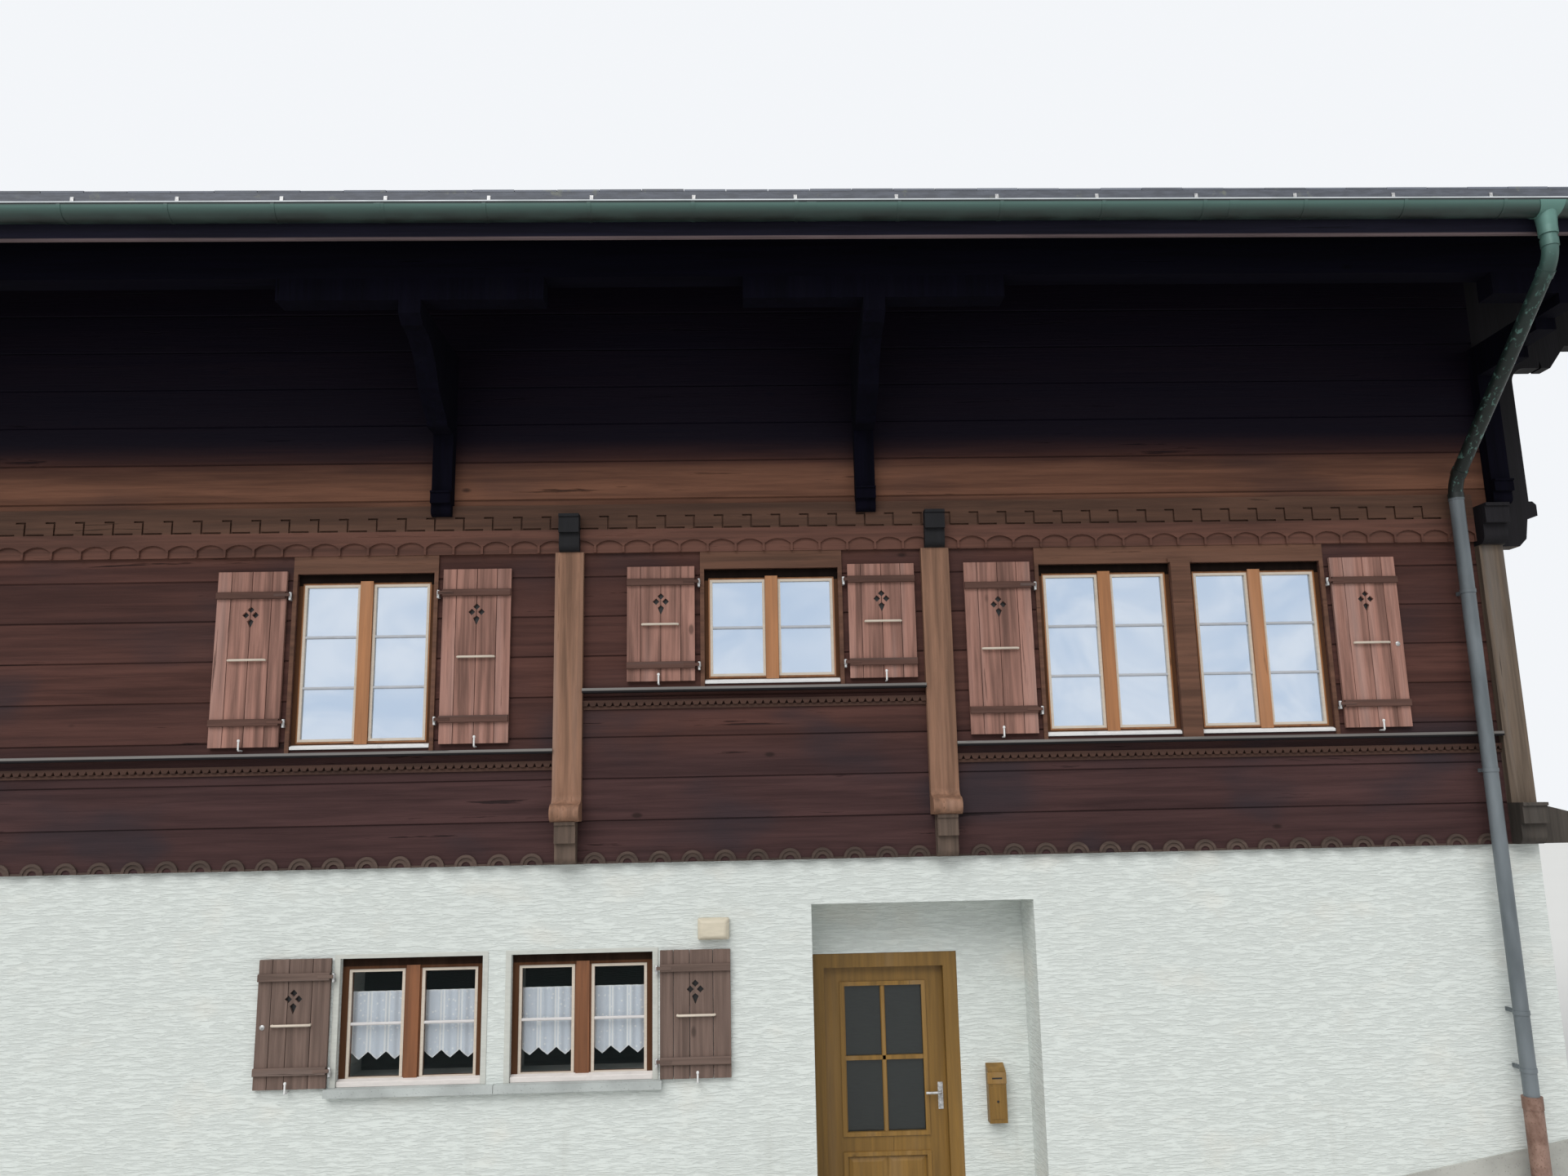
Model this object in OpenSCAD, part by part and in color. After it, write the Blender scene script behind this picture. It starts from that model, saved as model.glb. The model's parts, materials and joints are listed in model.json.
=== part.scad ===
// Alpine chalet: a rendered masonry ground storey, a timber storey of squared
// logs with carved friezes and consoles, and a low saddle roof on wide eaves.
// The long eaves side with the entrance faces -Y. Lengths are in millimetres.

/* [House] */
// Length of the timber storey along the eaves side
house_w = 13000; // [12600:50:14000]
// Depth of the timber storey from front to back
house_d = 9500; // [8600:50:11000]
// Height of the masonry storey above the lowest ground
base_z = 3020; // [2950:10:3300]
// Thickness of the masonry walls
wall_t = 600; // [560:10:700]
// How far the front of the timber stands proud of the masonry
timber_proud = 30; // [10:5:60]
// How far the gable masonry stands proud of the timber
side_ledge = 30; // [10:5:60]

/* [Logs] */
// Thickness of the log walls
log_t = 140; // [120:5:180]
// Height of one course of logs
log_h = 320; // [300:5:350]
// Depth of the groove between two courses
log_groove = 9; // [4:1:14]
// Height of the front log wall's top under the wall plate
plate_z = 7790; // [7720:10:7830]

/* [Floors] */
// Thickness of the ground slab
slab_t = 150; // [100:10:200]
// Thickness of the upper and attic floors
floor_t = 160; // [120:10:200]
// Height of the underside of the attic floor
attic_z = 5500; // [5450:10:5600]

/* [Roof] */
// Roof pitch in degrees
roof_pitch = 20; // [18:0.5:22]
// Reach of the rafters beyond the front wall
eave_out = 1480; // [1440:10:1600]
// Reach of the roof beyond the gable walls
gable_out = 1400; // [1300:10:1500]
// Height of the rafters' underside at their outer ends
rafter_foot_z = 7520; // [7490:5:7560]
// Reach of the fascia boards below the rafters' outer ends
fascia_drop = 110; // [90:5:130]
// Depth of a rafter, square to the roof
rafter_h = 160; // [140:5:180]
// Width of a rafter
rafter_w = 110; // [90:5:140]
// Distance between rafters
rafter_pitch = 730; // [715:5:745]
// Distance of the first rafter's centre beyond a gable wall
gable_rafter_out = 435; // [400:5:460]
// Thickness of boards and slates together, square to the roof
roof_t = 76; // [60:2:100]
// Reach of the slates beyond the rafter ends
slate_out = 60; // [50:5:80]
// Width of the ridge cap on each slope
ridge_cap_w = 150; // [120:10:200]
// Thickness of the ridge cap
ridge_cap_t = 20; // [15:1:30]
// Thickness of the fascia boards
fascia_t = 25; // [20:1:32]
// Thickness of the barge boards
barge_t = 32; // [25:1:40]
// Height of the barge boards
barge_h = 240; // [220:5:260]

/* [Purlins] */
// Width of the eave purlins, mid purlins and wall plates
purlin_w = 180; // [150:10:220]
// Height of the mid purlins
purlin_h = 240; // [200:10:280]
// Distance of the eave purlin's centre from the front wall
eave_purlin_out = 1070; // [1000:10:1150]
// Underside of the eave purlins
eave_purlin_z = 7280; // [7250:5:7320]
// Width of the ridge purlin
ridge_w = 220; // [180:10:260]

/* [Brackets] */
// Thickness of a bracket
bracket_t = 160; // [140:5:180]
// Height of the foot of a bracket
bracket_foot_z = 5755; // [5740:5:5790]
// Height of the foot block
bracket_foot_h = 195; // [170:5:220]
// Reach of the foot block
bracket_foot_out = 150; // [120:5:170]
// Thickness of the bracket's neck above the foot block
bracket_neck = 100; // [80:5:130]
// Height of the knob's centre
knob_z = 6500; // [6450:10:6550]
// Distance of the knob's centre from the wall
knob_out = 260; // [230:10:300]
// Radius of the knob
knob_r = 70; // [60:2:80]
// Depth of the saddle timber under the eave purlin
saddle_h = 170; // [150:5:190]
// Length of the saddle timber of the middle brackets
saddle_len = 1940; // [1600:20:2200]
// Place of the left inner bracket
bracket_left_x = -2120; // [-2300:20:-1900]
// Place of the right inner bracket
bracket_right_x = 1280; // [1100:20:1450]
// Distance of a corner bracket's centre beyond the gable wall
corner_bracket_out = 30; // [0:5:60]
// Height of the underside of a corner bracket's arm at the wall
corner_arm_z = 6850; // [6820:5:6900]
// Thickness of a corner bracket's arm at its outer end
corner_tip = 80; // [70:5:100]

/* [Corners] */
// Width of the corner posts
corner_post_w = 200; // [180:5:220]
// Height of the sill log ends
sill_end_h = 320; // [280:10:340]
// Reach of the sill log ends
sill_end_out = 360; // [320:10:400]
// Underside of the log ends at the friezes
stack_z = 5410; // [5390:5:5440]
// Height of the log ends at the friezes
stack_h = 380; // [360:5:400]
// Reach of the log ends at the friezes
stack_out = 370; // [340:5:400]
// Reach of the pier above them
pier_out = 310; // [290:5:330]
// Height at which the pier begins to step out
pier_head_z = 6830; // [6800:10:6860]
// Reach of the gable consoles
console_out = 860; // [820:10:900]
// Height of the gable consoles
console_h = 720; // [660:10:760]

/* [Cross-wall posts] */
// Width of a post
post_w = 224; // [210:2:240]
// How far a post stands proud of the logs
post_proud = 60; // [50:5:70]
// Width of a console
console_w = 160; // [145:5:180]
// Height of the console under a post
post_console_h = 320; // [300:5:340]
// Height of the console over a post
frieze_console_h = 300; // [280:5:305]
// Reach of the consoles
post_console_out = 150; // [130:5:180]

/* [Carving] */
// How far the frieze logs stand proud
frieze_proud = 45; // [40:1:50]
// Depth of the carving
carving = 18; // [14:1:22]
// Underside of the frieze logs
frieze_low_z = 5450; // [5445:1:5460]
// Top of the frieze logs
frieze_top_z = 5845; // [5820:5:5870]
// Length of one arch of the lower frieze
arc_pitch = 225; // [215:1:235]
// Height of an arch of the lower frieze
arc_h = 100; // [90:1:110]
// Rise of the curve of an arch
arc_rise = 40; // [34:1:46]
// Width of the foot between two arches
arc_foot = 18; // [14:1:24]
// Length of one unit of the key frieze
key_pitch = 230; // [220:1:240]
// Height of the key frieze
key_h = 112; // [100:1:120]
// Height of the key frieze's foot above the frieze's underside
key_lift = 190; // [180:1:196]
// Width of the grooves of the key frieze
key_groove_w = 14; // [11:1:16]
// Distance between the arches on the sill log
arch_pitch = 250; // [244:1:260]
// Radius of the arches on the sill log
arch_r = 87; // [80:1:95]
// Length of one strand of the rope moulding
rope_pitch = 62; // [58:1:68]
// Height of the rope moulding
rope_h = 44; // [38:1:50]
// Distance of the rope moulding below its sill board
rope_drop = 58; // [50:1:66]
// Height of the fillet under the rope moulding
rope_fillet = 26; // [20:1:32]
// How far the rope moulding stands proud
rope_proud = 32; // [26:1:38]

/* [Upper windows] */
// Height of the upper windows' sill edge
upper_sill_z = 3925; // [3900:5:3960]
// Height of the upper windows' head
upper_head_z = 5310; // [5250:10:5320]
// Width of an upper window opening
upper_win_w = 1075; // [1000:5:1100]
// Sill edge of the short middle window
short_sill_z = 4385; // [4350:5:4500]
// Wall between the window pair's outer shutter and the corner
corner_wall = 905; // [860:5:950]
// Wall between the window pair's inner shutter and the right post
pair_wall = 118; // [100:2:140]
// Wall between the right post and the middle window's shutter
mid_wall_right = 58; // [40:2:80]
// Wall between the left post and the middle window's shutter
mid_wall_left = 342; // [310:2:370]
// Wall between the left post and the left window's shutter
left_wall_run = 348; // [320:2:370]
// Width of the post between the paired windows
pair_post = 160; // [140:10:180]
// Width of the casing beside an opening
casing_w = 32; // [26:1:32]
// How far casings stand proud of the logs
casing_proud = 20; // [10:2:22]
// Depth of the upper window frames behind the log face
upper_recess = 20; // [15:1:40]
// Thickness of the sill boards
sill_board_h = 35; // [30:1:42]
// Reach of the sill boards
sill_board_out = 80; // [70:2:90]
// Height of a sill board's top below the window's sill edge, long windows
sill_board_drop = 26; // [20:1:34]
// Height of the middle sill board's top below the window's sill edge
short_board_drop = 25; // [20:1:34]

/* [Ground windows] */
// Height of the ground windows' sill edge
ground_sill_z = 1440; // [1420:5:1460]
// Height of the ground windows' head
ground_head_z = 2360; // [2300:10:2400]
// Width of a ground window opening
ground_win_w = 1065; // [1000:5:1100]
// Wall between the entrance niche and the right ground window
niche_pier = 1215; // [1180:5:1240]
// Wall between the ground windows
ground_pier = 214; // [190:2:240]
// Depth of the ground window frames behind the wall face
ground_recess = 60; // [40:5:80]
// Height of the stone sill
stone_sill_h = 60; // [50:5:75]
// Reach of the stone sill beside the windows
stone_sill_side = 70; // [50:5:90]
// Reach of the stone sill beyond the wall
stone_sill_out = 60; // [50:5:70]

/* [Window frames] */
// Width of an upper window's frame and sash stile together
upper_side_w = 62; // [56:1:70]
// Width of an upper window's meeting stiles
upper_meet_w = 140; // [125:5:160]
// Height of an upper window's foot, frame and sash rail together
upper_foot_h = 80; // [70:5:90]
// Height of an upper window's head, frame and sash rail together
upper_top_h = 100; // [85:5:110]
// Width of a ground window's frame and sash stile together
ground_side_w = 67; // [60:1:75]
// Width of a ground window's meeting stiles
ground_meet_w = 165; // [140:5:180]
// Height of a ground window's foot, frame and sash rail together
ground_foot_h = 55; // [52:1:65]
// Height of a ground window's head, frame and sash rail together
ground_top_h = 105; // [90:5:120]
// Depth of a window frame
frame_t = 66; // [60:2:70]
// Width of a sash stile or rail seen beside the glass
sash_w = 42; // [36:1:50]
// How far the sashes are set back in their frame
sash_back = 12; // [8:1:16]
// Width of the cover strip over the meeting stiles
cover_w = 100; // [80:5:110]
// Thickness of the cover strip
cover_t = 10; // [8:1:14]
// Thickness of the glass
glass_t = 8; // [4:1:12]
// Distance of the lace's top below the glass edge, as a part of the glass height
lace_top_share = 0.2; // [0.15:0.01:0.25]
// Height of the lace as a part of the glass height
lace_share = 0.65; // [0.6:0.01:0.7]
// Thickness of the lace sheets
lace_t = 12; // [8:1:14]

/* [Shutters] */
// Thickness of the shutter boards
shutter_t = 28; // [24:1:30]
// Thickness of the battens
batten_t = 25; // [18:1:26]
// Height of the battens
batten_h = 55; // [45:1:60]
// Distance of the battens from the shutter's ends, as a part of its height
batten_share = 0.138; // [0.12:0.002:0.16]
// Width of the cut-out in a shutter
flower = 110; // [90:2:120]
// Height of a tall shutter's cut-out, as a part of the shutter's height
tall_flower_share = 0.749; // [0.72:0.001:0.76]
// Height of a low shutter's cut-out, as a part of the shutter's height
low_flower_share = 0.69; // [0.66:0.005:0.72]
// Gap between an open shutter and the wall
shutter_gap = 10; // [8:1:14]
// Height of the upper shutters' top
upper_shutter_top = 5330; // [5310:5:5360]
// Distance of a hinge pin beyond the opening's edge, upper storey
upper_hinge_off = 41; // [41:1:48]
// Distance of a hinge pin beyond the opening's edge, ground storey
ground_hinge_off = 32; // [30:1:38]
// Distance of the hinge pins from the wall face
pin_out = 45; // [44:1:48]
// Radius of a hinge pin
pin_r = 6; // [5:0.5:7]

/* [Entrance] */
// Left side of the entrance niche
niche_x0 = 770; // [750:10:790]
// Width of the entrance niche
niche_w = 1720; // [1680:10:1760]
// Height of the niche's head
niche_z = 2680; // [2600:10:2740]
// Depth of the niche
niche_d = 450; // [400:10:460]
// Width of the door leaf
door_w = 980; // [900:10:1000]
// Height of the door leaf
door_h = 2000; // [1950:10:2050]
// Thickness of the door leaf
door_t = 62; // [50:2:68]
// Width of the door's stiles
door_stile = 180; // [160:5:200]
// Height of the door's head and foot rails
door_rail = 160; // [140:5:180]
// Height of the door's lower panel
door_panel_h = 400; // [360:10:420]
// Height of the door's pane above the door's foot
door_pane_z = 730; // [700:10:800]
// Thickness of the door's pane
door_pane_t = 10; // [6:1:14]
// Width of the door frame beside the leaf
door_jamb = 90; // [70:5:100]
// Gap around the door leaf
door_gap = 8; // [8:0.5:10]
// Left side of the letterbox in the niche
letterbox_x = 2140; // [2130:10:2160]
// Width of the letterbox
letterbox_w = 140; // [130:5:160]
// Underside of the letterbox
letterbox_z = 970; // [940:10:1000]
// Height of the letterbox
letterbox_h = 430; // [400:10:450]
// Depth of the letterbox
letterbox_d = 90; // [80:5:110]

/* [Gutters] */
// Outer radius of the half-round gutter
gutter_r = 95; // [80:1:100]
// Wall of the gutter
gutter_t = 5; // [4:0.5:6]
// Height of the gutter's rim
gutter_z = 7590; // [7570:5:7600]
// Radius of the downpipe
pipe_r = 55; // [45:1:60]
// Place of the downpipe along the front
pipe_x = 6105; // [6050:5:6160]
// Distance of the downpipe's centre from the timber wall
pipe_out = 150; // [130:5:170]
// Height of the downpipe's bend at the wall
pipe_bend_z = 5910; // [5880:10:5950]
// Drop of the downpipe's bend below the gutter
pipe_bend_drop = 315; // [290:5:340]
// Radius of the downpipe's bends
pipe_bend_r = 250; // [200:10:280]
// Depth of the downpipe in the standpipe's socket
pipe_seat = 60; // [50:5:70]
// Height of the standpipe's socket
standpipe_z = 1190; // [1100:10:1250]
// Radius of the standpipe
standpipe_r = 72; // [66:1:80]

/* [Hidden] */
$fn = 32;

// Timber faces and masonry faces, measured from the middle of the house
hw = house_w / 2;
hd = house_d / 2;
mason_y = hd - timber_proud;
mason_x = hw + side_ledge;
room_y = mason_y - wall_t;
room_x = mason_x - wall_t;
log_in_y = hd - log_t;
log_in_x = hw - log_t;
roof_x = hw + gable_out;
eave_y = hd + eave_out;
slope = tan(roof_pitch);
rafter_v = rafter_h / cos(roof_pitch);
roof_v = roof_t / cos(roof_pitch);
niche_x1 = niche_x0 + niche_w;
door_x0 = niche_x0 + door_jamb + door_gap;
door_x1 = door_x0 + door_w;
door_z0 = slab_t + door_gap;
door_z1 = door_z0 + door_h;
door_head_z = door_z1 + door_gap + door_jamb;
entry_y0 = mason_y - niche_d;
fascia_z = rafter_foot_z - fascia_drop;
gutter_y = eave_y + fascia_t + gutter_r;
ridge_h = 280;
mid_purlin_y = hd / 2;
bracket_arm = eave_purlin_out + purlin_w / 2;
corner_saddle_share = 0.6;
pin_clear = 0.08;
seat_gap = 0.3;
lace_lap = 10;
eye_r = 12;
eye_h = 44;
strap_t = 6;
upper_edge_gap = 33;
ground_edge_gap = 24;
leaf_meet = 5.5;
leaf_lift = 25;
ground_leaf_lift = 6;
ground_leaf_over = 8;
cut = 20;

// Widths of the shutters, which leave a slit in the middle of their opening when closed
upper_leaf_w = upper_win_w / 2 + upper_hinge_off - upper_edge_gap - leaf_meet;
ground_leaf_w = ground_win_w / 2 + ground_hinge_off - ground_edge_gap - leaf_meet;

// Places along the front, set out from the right corner
upper_off = upper_win_w / 2 + upper_hinge_off;
win_pair_dx = (upper_win_w + pair_post) / 2;
pair_off = win_pair_dx + upper_off;
leaf_reach = upper_edge_gap + upper_leaf_w;
pair_x = hw - corner_wall - leaf_reach - pair_off;
post_right_x = pair_x - pair_off - leaf_reach - pair_wall - post_w / 2;
mid_win_x = post_right_x - post_w / 2 - mid_wall_right - leaf_reach - upper_off;
post_left_x = mid_win_x - upper_off - leaf_reach - mid_wall_left - post_w / 2;
left_win_x = post_left_x - post_w / 2 - left_wall_run - leaf_reach - upper_off;
frieze_x = hw - corner_post_w;
ground_b_x = niche_x0 - niche_pier - ground_win_w / 2;
ground_a_x = ground_b_x - ground_win_w - ground_pier;

// Sill boards: from, to, underside
sill_board_z = upper_sill_z - sill_board_drop - sill_board_h;
short_board_z = short_sill_z - short_board_drop - sill_board_h;
sill_runs = [
    [-frieze_x, post_left_x - post_w / 2, sill_board_z],
    [post_left_x + post_w / 2, post_right_x - post_w / 2, short_board_z],
    [post_right_x + post_w / 2, frieze_x, sill_board_z]
];

// Front windows: centre and sill edge
upper_windows = [
    [left_win_x, upper_sill_z], [mid_win_x, short_sill_z],
    [pair_x - win_pair_dx, upper_sill_z], [pair_x + win_pair_dx, upper_sill_z]
];
ground_windows = [ground_a_x, ground_b_x];
back_upper = [-3900, 0, 3900];
back_ground = [-3000, 3000];
gable_upper = [-2300, 2300];
gable_ground = [-2000, 2000];
gable_attic = [-850, 850];
attic_sill_z = 6500;
attic_head_z = 7400;
attic_win_w = 900;

// Frames of the windows: side, meeting stiles, foot and head
upper_frame = [upper_side_w, upper_meet_w, upper_foot_h, upper_top_h];
ground_frame = [ground_side_w, ground_meet_w, ground_foot_h, ground_top_h];

function roof_under(y) = rafter_foot_z + (eave_y - abs(y)) * slope;
function board_under(y) = roof_under(y) + rafter_v;
function seat_z(y) = roof_under(y) - seat_gap;
function roof_top(y) = board_under(y) + roof_v;

// Extrudes an outline drawn in Y and Z along X
module along_x(x0, x1) {
    translate([x0, 0, 0]) rotate([90, 0, 90]) linear_extrude(x1 - x0) children();
}

// Extrudes an outline drawn in X and Z along Y
module along_y(y0, y1) {
    translate([0, y1, 0]) rotate([90, 0, 0]) linear_extrude(y1 - y0) children();
}

// A box from its low corner to its high corner
module block(a, b) {
    translate(a) cube(b - a);
}

// Repeats a front piece at the back, turned half round
module both_sides() {
    children();
    rotate([0, 0, 180]) children();
}

// Outline of a stack of logs with grooves on the outer face at y = -face
module log_outline(face, z0, z1) {
    n = floor((z1 - z0) / log_h);
    grooves = [for (i = [1 : n]) if (z0 + i * log_h < z1 - log_groove * 2) z0 + i * log_h];
    outer = [for (z = grooves) each
        [[-face, z - log_groove], [-face + log_groove, z], [-face, z + log_groove]]];
    polygon(concat([[-face + log_t, z0], [-face, z0]], outer,
        [[-face, z1], [-face + log_t, z1]]));
}

module window_hole(x, z0, z1, w, y0, y1) {
    block([x - w / 2, y0, z0], [x + w / 2, y1, z1]);
}

module ground_floor() {
    color("gray") union() {
        block([-room_x, -room_y, 0], [room_x, room_y, slab_t]);
        block([niche_x0, -mason_y, 0], [niche_x1, -room_y, slab_t]);
    }
}

// Concrete skirt that steps up with the ground on the right
module plinth() {
    low = 160;
    high = 850;
    skin = 20;
    seam = 0.5;
    end_x = mason_x + skin;
    side_y = mason_y - seam;
    color("darkgray") {
        along_y(-mason_y - skin, -mason_y)
            polygon([[niche_x1, 0], [end_x, 0], [end_x, high], [niche_x1, low]]);
        along_x(mason_x, end_x)
            polygon([[-side_y, 0], [side_y, 0], [side_y, high], [-side_y, high]]);
        along_y(mason_y, mason_y + skin)
            polygon([[-end_x, 0], [end_x, 0], [end_x, high], [-end_x, low]]);
        block([-end_x, -side_y, 0], [-mason_x, side_y, low]);
        block([-end_x, -mason_y - skin, 0], [niche_x0, -mason_y, low]);
    }
}

module front_wall_left() {
    color("white") difference() {
        block([-mason_x, -mason_y, 0], [niche_x0, -room_y, base_z]);
        for (x = ground_windows)
            window_hole(x, ground_sill_z, ground_head_z, ground_win_w,
                -mason_y - cut, -room_y + cut);
        stone_sill_block(0);
    }
}

module front_wall_right() {
    color("white") block([niche_x1, -mason_y, 0], [mason_x, -room_y, base_z]);
}

module front_wall_lintel() {
    color("white") block([niche_x0, -mason_y, niche_z], [niche_x1, -room_y, base_z]);
}

module entry_wall_side() {
    color("white") block([door_x1 + door_gap + door_jamb, -entry_y0, slab_t],
        [niche_x1, -room_y, niche_z]);
}

module entry_wall_over() {
    color("white") block([niche_x0, -entry_y0, door_head_z],
        [door_x1 + door_gap + door_jamb, -room_y, niche_z]);
}

module back_wall() {
    color("white") difference() {
        block([-mason_x, room_y, 0], [mason_x, mason_y, base_z]);
        for (x = back_ground)
            window_hole(x, ground_sill_z, ground_head_z, ground_win_w,
                room_y - cut, mason_y + cut);
    }
}

module side_wall() {
    difference() {
        block([room_x, -room_y, 0], [mason_x, room_y, base_z]);
        for (y = gable_ground)
            block([room_x - cut, y - ground_win_w / 2, ground_sill_z],
                [mason_x + cut, y + ground_win_w / 2, ground_head_z]);
    }
}

module left_wall() {
    color("white") rotate([0, 0, 180]) side_wall();
}

module right_wall() {
    color("white") side_wall();
}

module upper_floor() {
    color("burlywood") block([-log_in_x, -log_in_y, base_z], [log_in_x, log_in_y, base_z + floor_t]);
}

module attic_floor() {
    color("burlywood") block([-log_in_x, -log_in_y, attic_z],
        [log_in_x, log_in_y, attic_z + floor_t]);
}

module front_logs() {
    color("saddlebrown") difference() {
        along_x(-hw, hw) log_outline(hd, base_z, plate_z);
        for (w = upper_windows)
            window_hole(w[0], w[1], upper_head_z, upper_win_w, -hd - cut, -log_in_y + cut);
    }
}

module back_logs() {
    color("saddlebrown") rotate([0, 0, 180]) difference() {
        along_x(-hw, hw) log_outline(hd, base_z, plate_z);
        for (x = back_upper)
            window_hole(-x, upper_sill_z, upper_head_z, upper_win_w, -hd - cut, -log_in_y + cut);
    }
}

// Gable wall of logs up to the roof boards, cut round the purlins
module gable_wall() {
    difference() {
        intersection() {
            rotate([0, 0, 90]) along_x(-log_in_y, log_in_y)
                log_outline(hw, base_z, board_under(0));
            along_x(log_in_x - cut, hw + cut)
                polygon([[-log_in_y, base_z], [log_in_y, base_z],
                    [log_in_y, board_under(log_in_y) - seat_gap], [0, board_under(0) - seat_gap],
                    [-log_in_y, board_under(log_in_y) - seat_gap]]);
        }
        for (y = gable_upper)
            block([log_in_x - cut, y - upper_win_w / 2, upper_sill_z],
                [hw + cut, y + upper_win_w / 2, upper_head_z]);
        for (y = gable_attic)
            block([log_in_x - cut, y - attic_win_w / 2, attic_sill_z],
                [hw + cut, y + attic_win_w / 2, attic_head_z]);
        along_x(log_in_x - cut, hw + cut) {
            ridge_outline();
            for (s = [-1, 1]) {
                mid_outline(s);
                plate_outline(s);
            }
        }
    }
}

module left_gable_logs() {
    color("saddlebrown") rotate([0, 0, 180]) gable_wall();
}

module right_gable_logs() {
    color("saddlebrown") gable_wall();
}

module ridge_outline() {
    half = ridge_w / 2;
    polygon([[-half, roof_under(0) - ridge_h], [half, roof_under(0) - ridge_h],
        [half, seat_z(half)], [0, seat_z(0)], [-half, seat_z(half)]]);
}

// A beam whose top is bevelled to the slope, between two distances from the ridge
module bevelled(s, near, far, z) {
    polygon([[s * near, z], [s * far, z], [s * far, seat_z(far)], [s * near, seat_z(near)]]);
}

module mid_outline(s) {
    bevelled(s, mid_purlin_y - purlin_w / 2, mid_purlin_y + purlin_w / 2,
        roof_under(mid_purlin_y) - purlin_h);
}

module plate_outline(s) {
    bevelled(s, hd - purlin_w, hd, plate_z);
}

module eave_purlin_outline(s) {
    bevelled(s, hd + eave_purlin_out - purlin_w / 2, hd + eave_purlin_out + purlin_w / 2,
        eave_purlin_z);
}

module purlins() {
    color("sienna") {
        along_x(-roof_x, roof_x) ridge_outline();
        for (s = [-1, 1]) {
            along_x(-roof_x, roof_x) mid_outline(s);
            along_x(-roof_x, roof_x) plate_outline(s);
            along_x(-roof_x, roof_x) eave_purlin_outline(s);
        }
    }
}

// Rafters set out from the middle inside the gable walls, and from each gable outside
module rafters() {
    inner = floor((log_in_x - rafter_w / 2) / rafter_pitch + 0.5);
    outer = floor((gable_out - gable_rafter_out - rafter_w / 2) / rafter_pitch) + 1;
    places = concat([for (i = [0 : inner - 1]) (i + 0.5) * rafter_pitch],
        [for (i = [0 : outer - 1]) hw + gable_rafter_out + i * rafter_pitch]);
    color("sienna") both_sides()
        for (place = places, s = [-1, 1]) {
            x = s * place;
            along_x(x - rafter_w / 2, x + rafter_w / 2)
                polygon([[-eave_y, roof_under(eave_y)], [-1, roof_under(1)],
                    [-1, board_under(1) - seat_gap], [-eave_y, board_under(eave_y) - seat_gap]]);
        }
}

module roof_slab() {
    out = eave_y + slate_out;
    along_x(-roof_x, roof_x)
        polygon([[-out, board_under(out)], [0, board_under(0)], [0, roof_top(0)],
            [-out, roof_top(out)]]);
}

module roof_front() {
    color("dimgray") roof_slab();
}

module roof_back() {
    color("dimgray") rotate([0, 0, 180]) roof_slab();
}

module ridge_cap() {
    color("dimgray") along_x(-roof_x, roof_x) translate([0, seat_gap])
        polygon([[-ridge_cap_w, roof_top(ridge_cap_w)], [0, roof_top(0)],
            [ridge_cap_w, roof_top(ridge_cap_w)],
            [ridge_cap_w, roof_top(ridge_cap_w) + ridge_cap_t], [0, roof_top(0) + ridge_cap_t],
            [-ridge_cap_w, roof_top(ridge_cap_w) + ridge_cap_t]]);
}

module fascia_boards() {
    out = eave_y + slate_out;
    end_gap = 2;
    color("sienna") both_sides() {
        along_x(end_gap - roof_x, roof_x - end_gap)
            polygon([[-eave_y, fascia_z], [-eave_y - fascia_t, fascia_z],
                [-eave_y - fascia_t, board_under(eave_y + fascia_t) - seat_gap],
                [-eave_y, board_under(eave_y) - seat_gap]]);
        for (x = [-roof_x - barge_t, roof_x])
            along_x(x, x + barge_t)
                polygon([[-out, roof_top(out) - barge_h], [-1, roof_top(1) - barge_h],
                    [-1, roof_top(1)], [-out, roof_top(out)]]);
    }
}

// Log ends at a front corner: the post with its consoles, the stack of log ends
// at the friezes and the pier above it that steps out below the roof
module corner_end() {
    x0 = hw - corner_post_w;
    x1 = hw + pier_out;
    lip = stack_out - pier_out;
    round_z = stack_z + stack_h / 6;
    joint_z = stack_z + stack_h * 0.6;
    curve = pier_out * 0.4;
    step_x = x1 + curve;
    color("sienna") {
        block([x0, -hd - post_proud, base_z + sill_end_h], [hw, -hd, stack_z]);
        console_end(x0, hw, base_z, sill_end_h, sill_end_out * 0.55);
        along_y(-hd, -hd + log_t)
            polygon([[hw, base_z], [hw + sill_end_out, base_z],
                [hw + sill_end_out, base_z + sill_end_h * 0.7], [hw, base_z + sill_end_h]]);
        console_end(x0, hw, stack_z, stack_h * 0.85, sill_end_out * 0.6);
        along_y(-hd, -hd + log_t) {
            difference() {
                polygon([[hw, stack_z], [hw + stack_out * 0.5, stack_z], [x1 - lip, round_z],
                    [x1 - lip / 2, joint_z], [x1 + lip, joint_z + lip / 2],
                    [x1 + lip, stack_z + stack_h - lip / 2], [x1 + lip / 2, stack_z + stack_h],
                    [x1, stack_z + stack_h], [x1, pier_head_z], [step_x, pier_head_z + curve],
                    [step_x + curve, pier_head_z + curve],
                    [step_x + curve * 1.1, pier_head_z + curve * 1.5],
                    [step_x + curve * 1.2, pier_head_z + curve],
                    [step_x + curve * 1.8, pier_head_z + curve],
                    [step_x + curve * 3, pier_head_z + curve * 2.6],
                    [step_x + curve * 4.5, pier_head_z + curve * 2.6],
                    [step_x + curve * 5.5, pier_head_z + curve * 4],
                    [roof_x - curve, pier_head_z + curve * 4],
                    [roof_x - curve / 2, pier_head_z + curve * 4.5],
                    [roof_x - curve / 2, plate_z], [hw, plate_z]]);
                translate([step_x, pier_head_z]) circle(curve);
            }
        }
    }
}

module corner_logs() {
    both_sides() {
        corner_end();
        mirror([1, 0, 0]) corner_end();
    }
}

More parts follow.
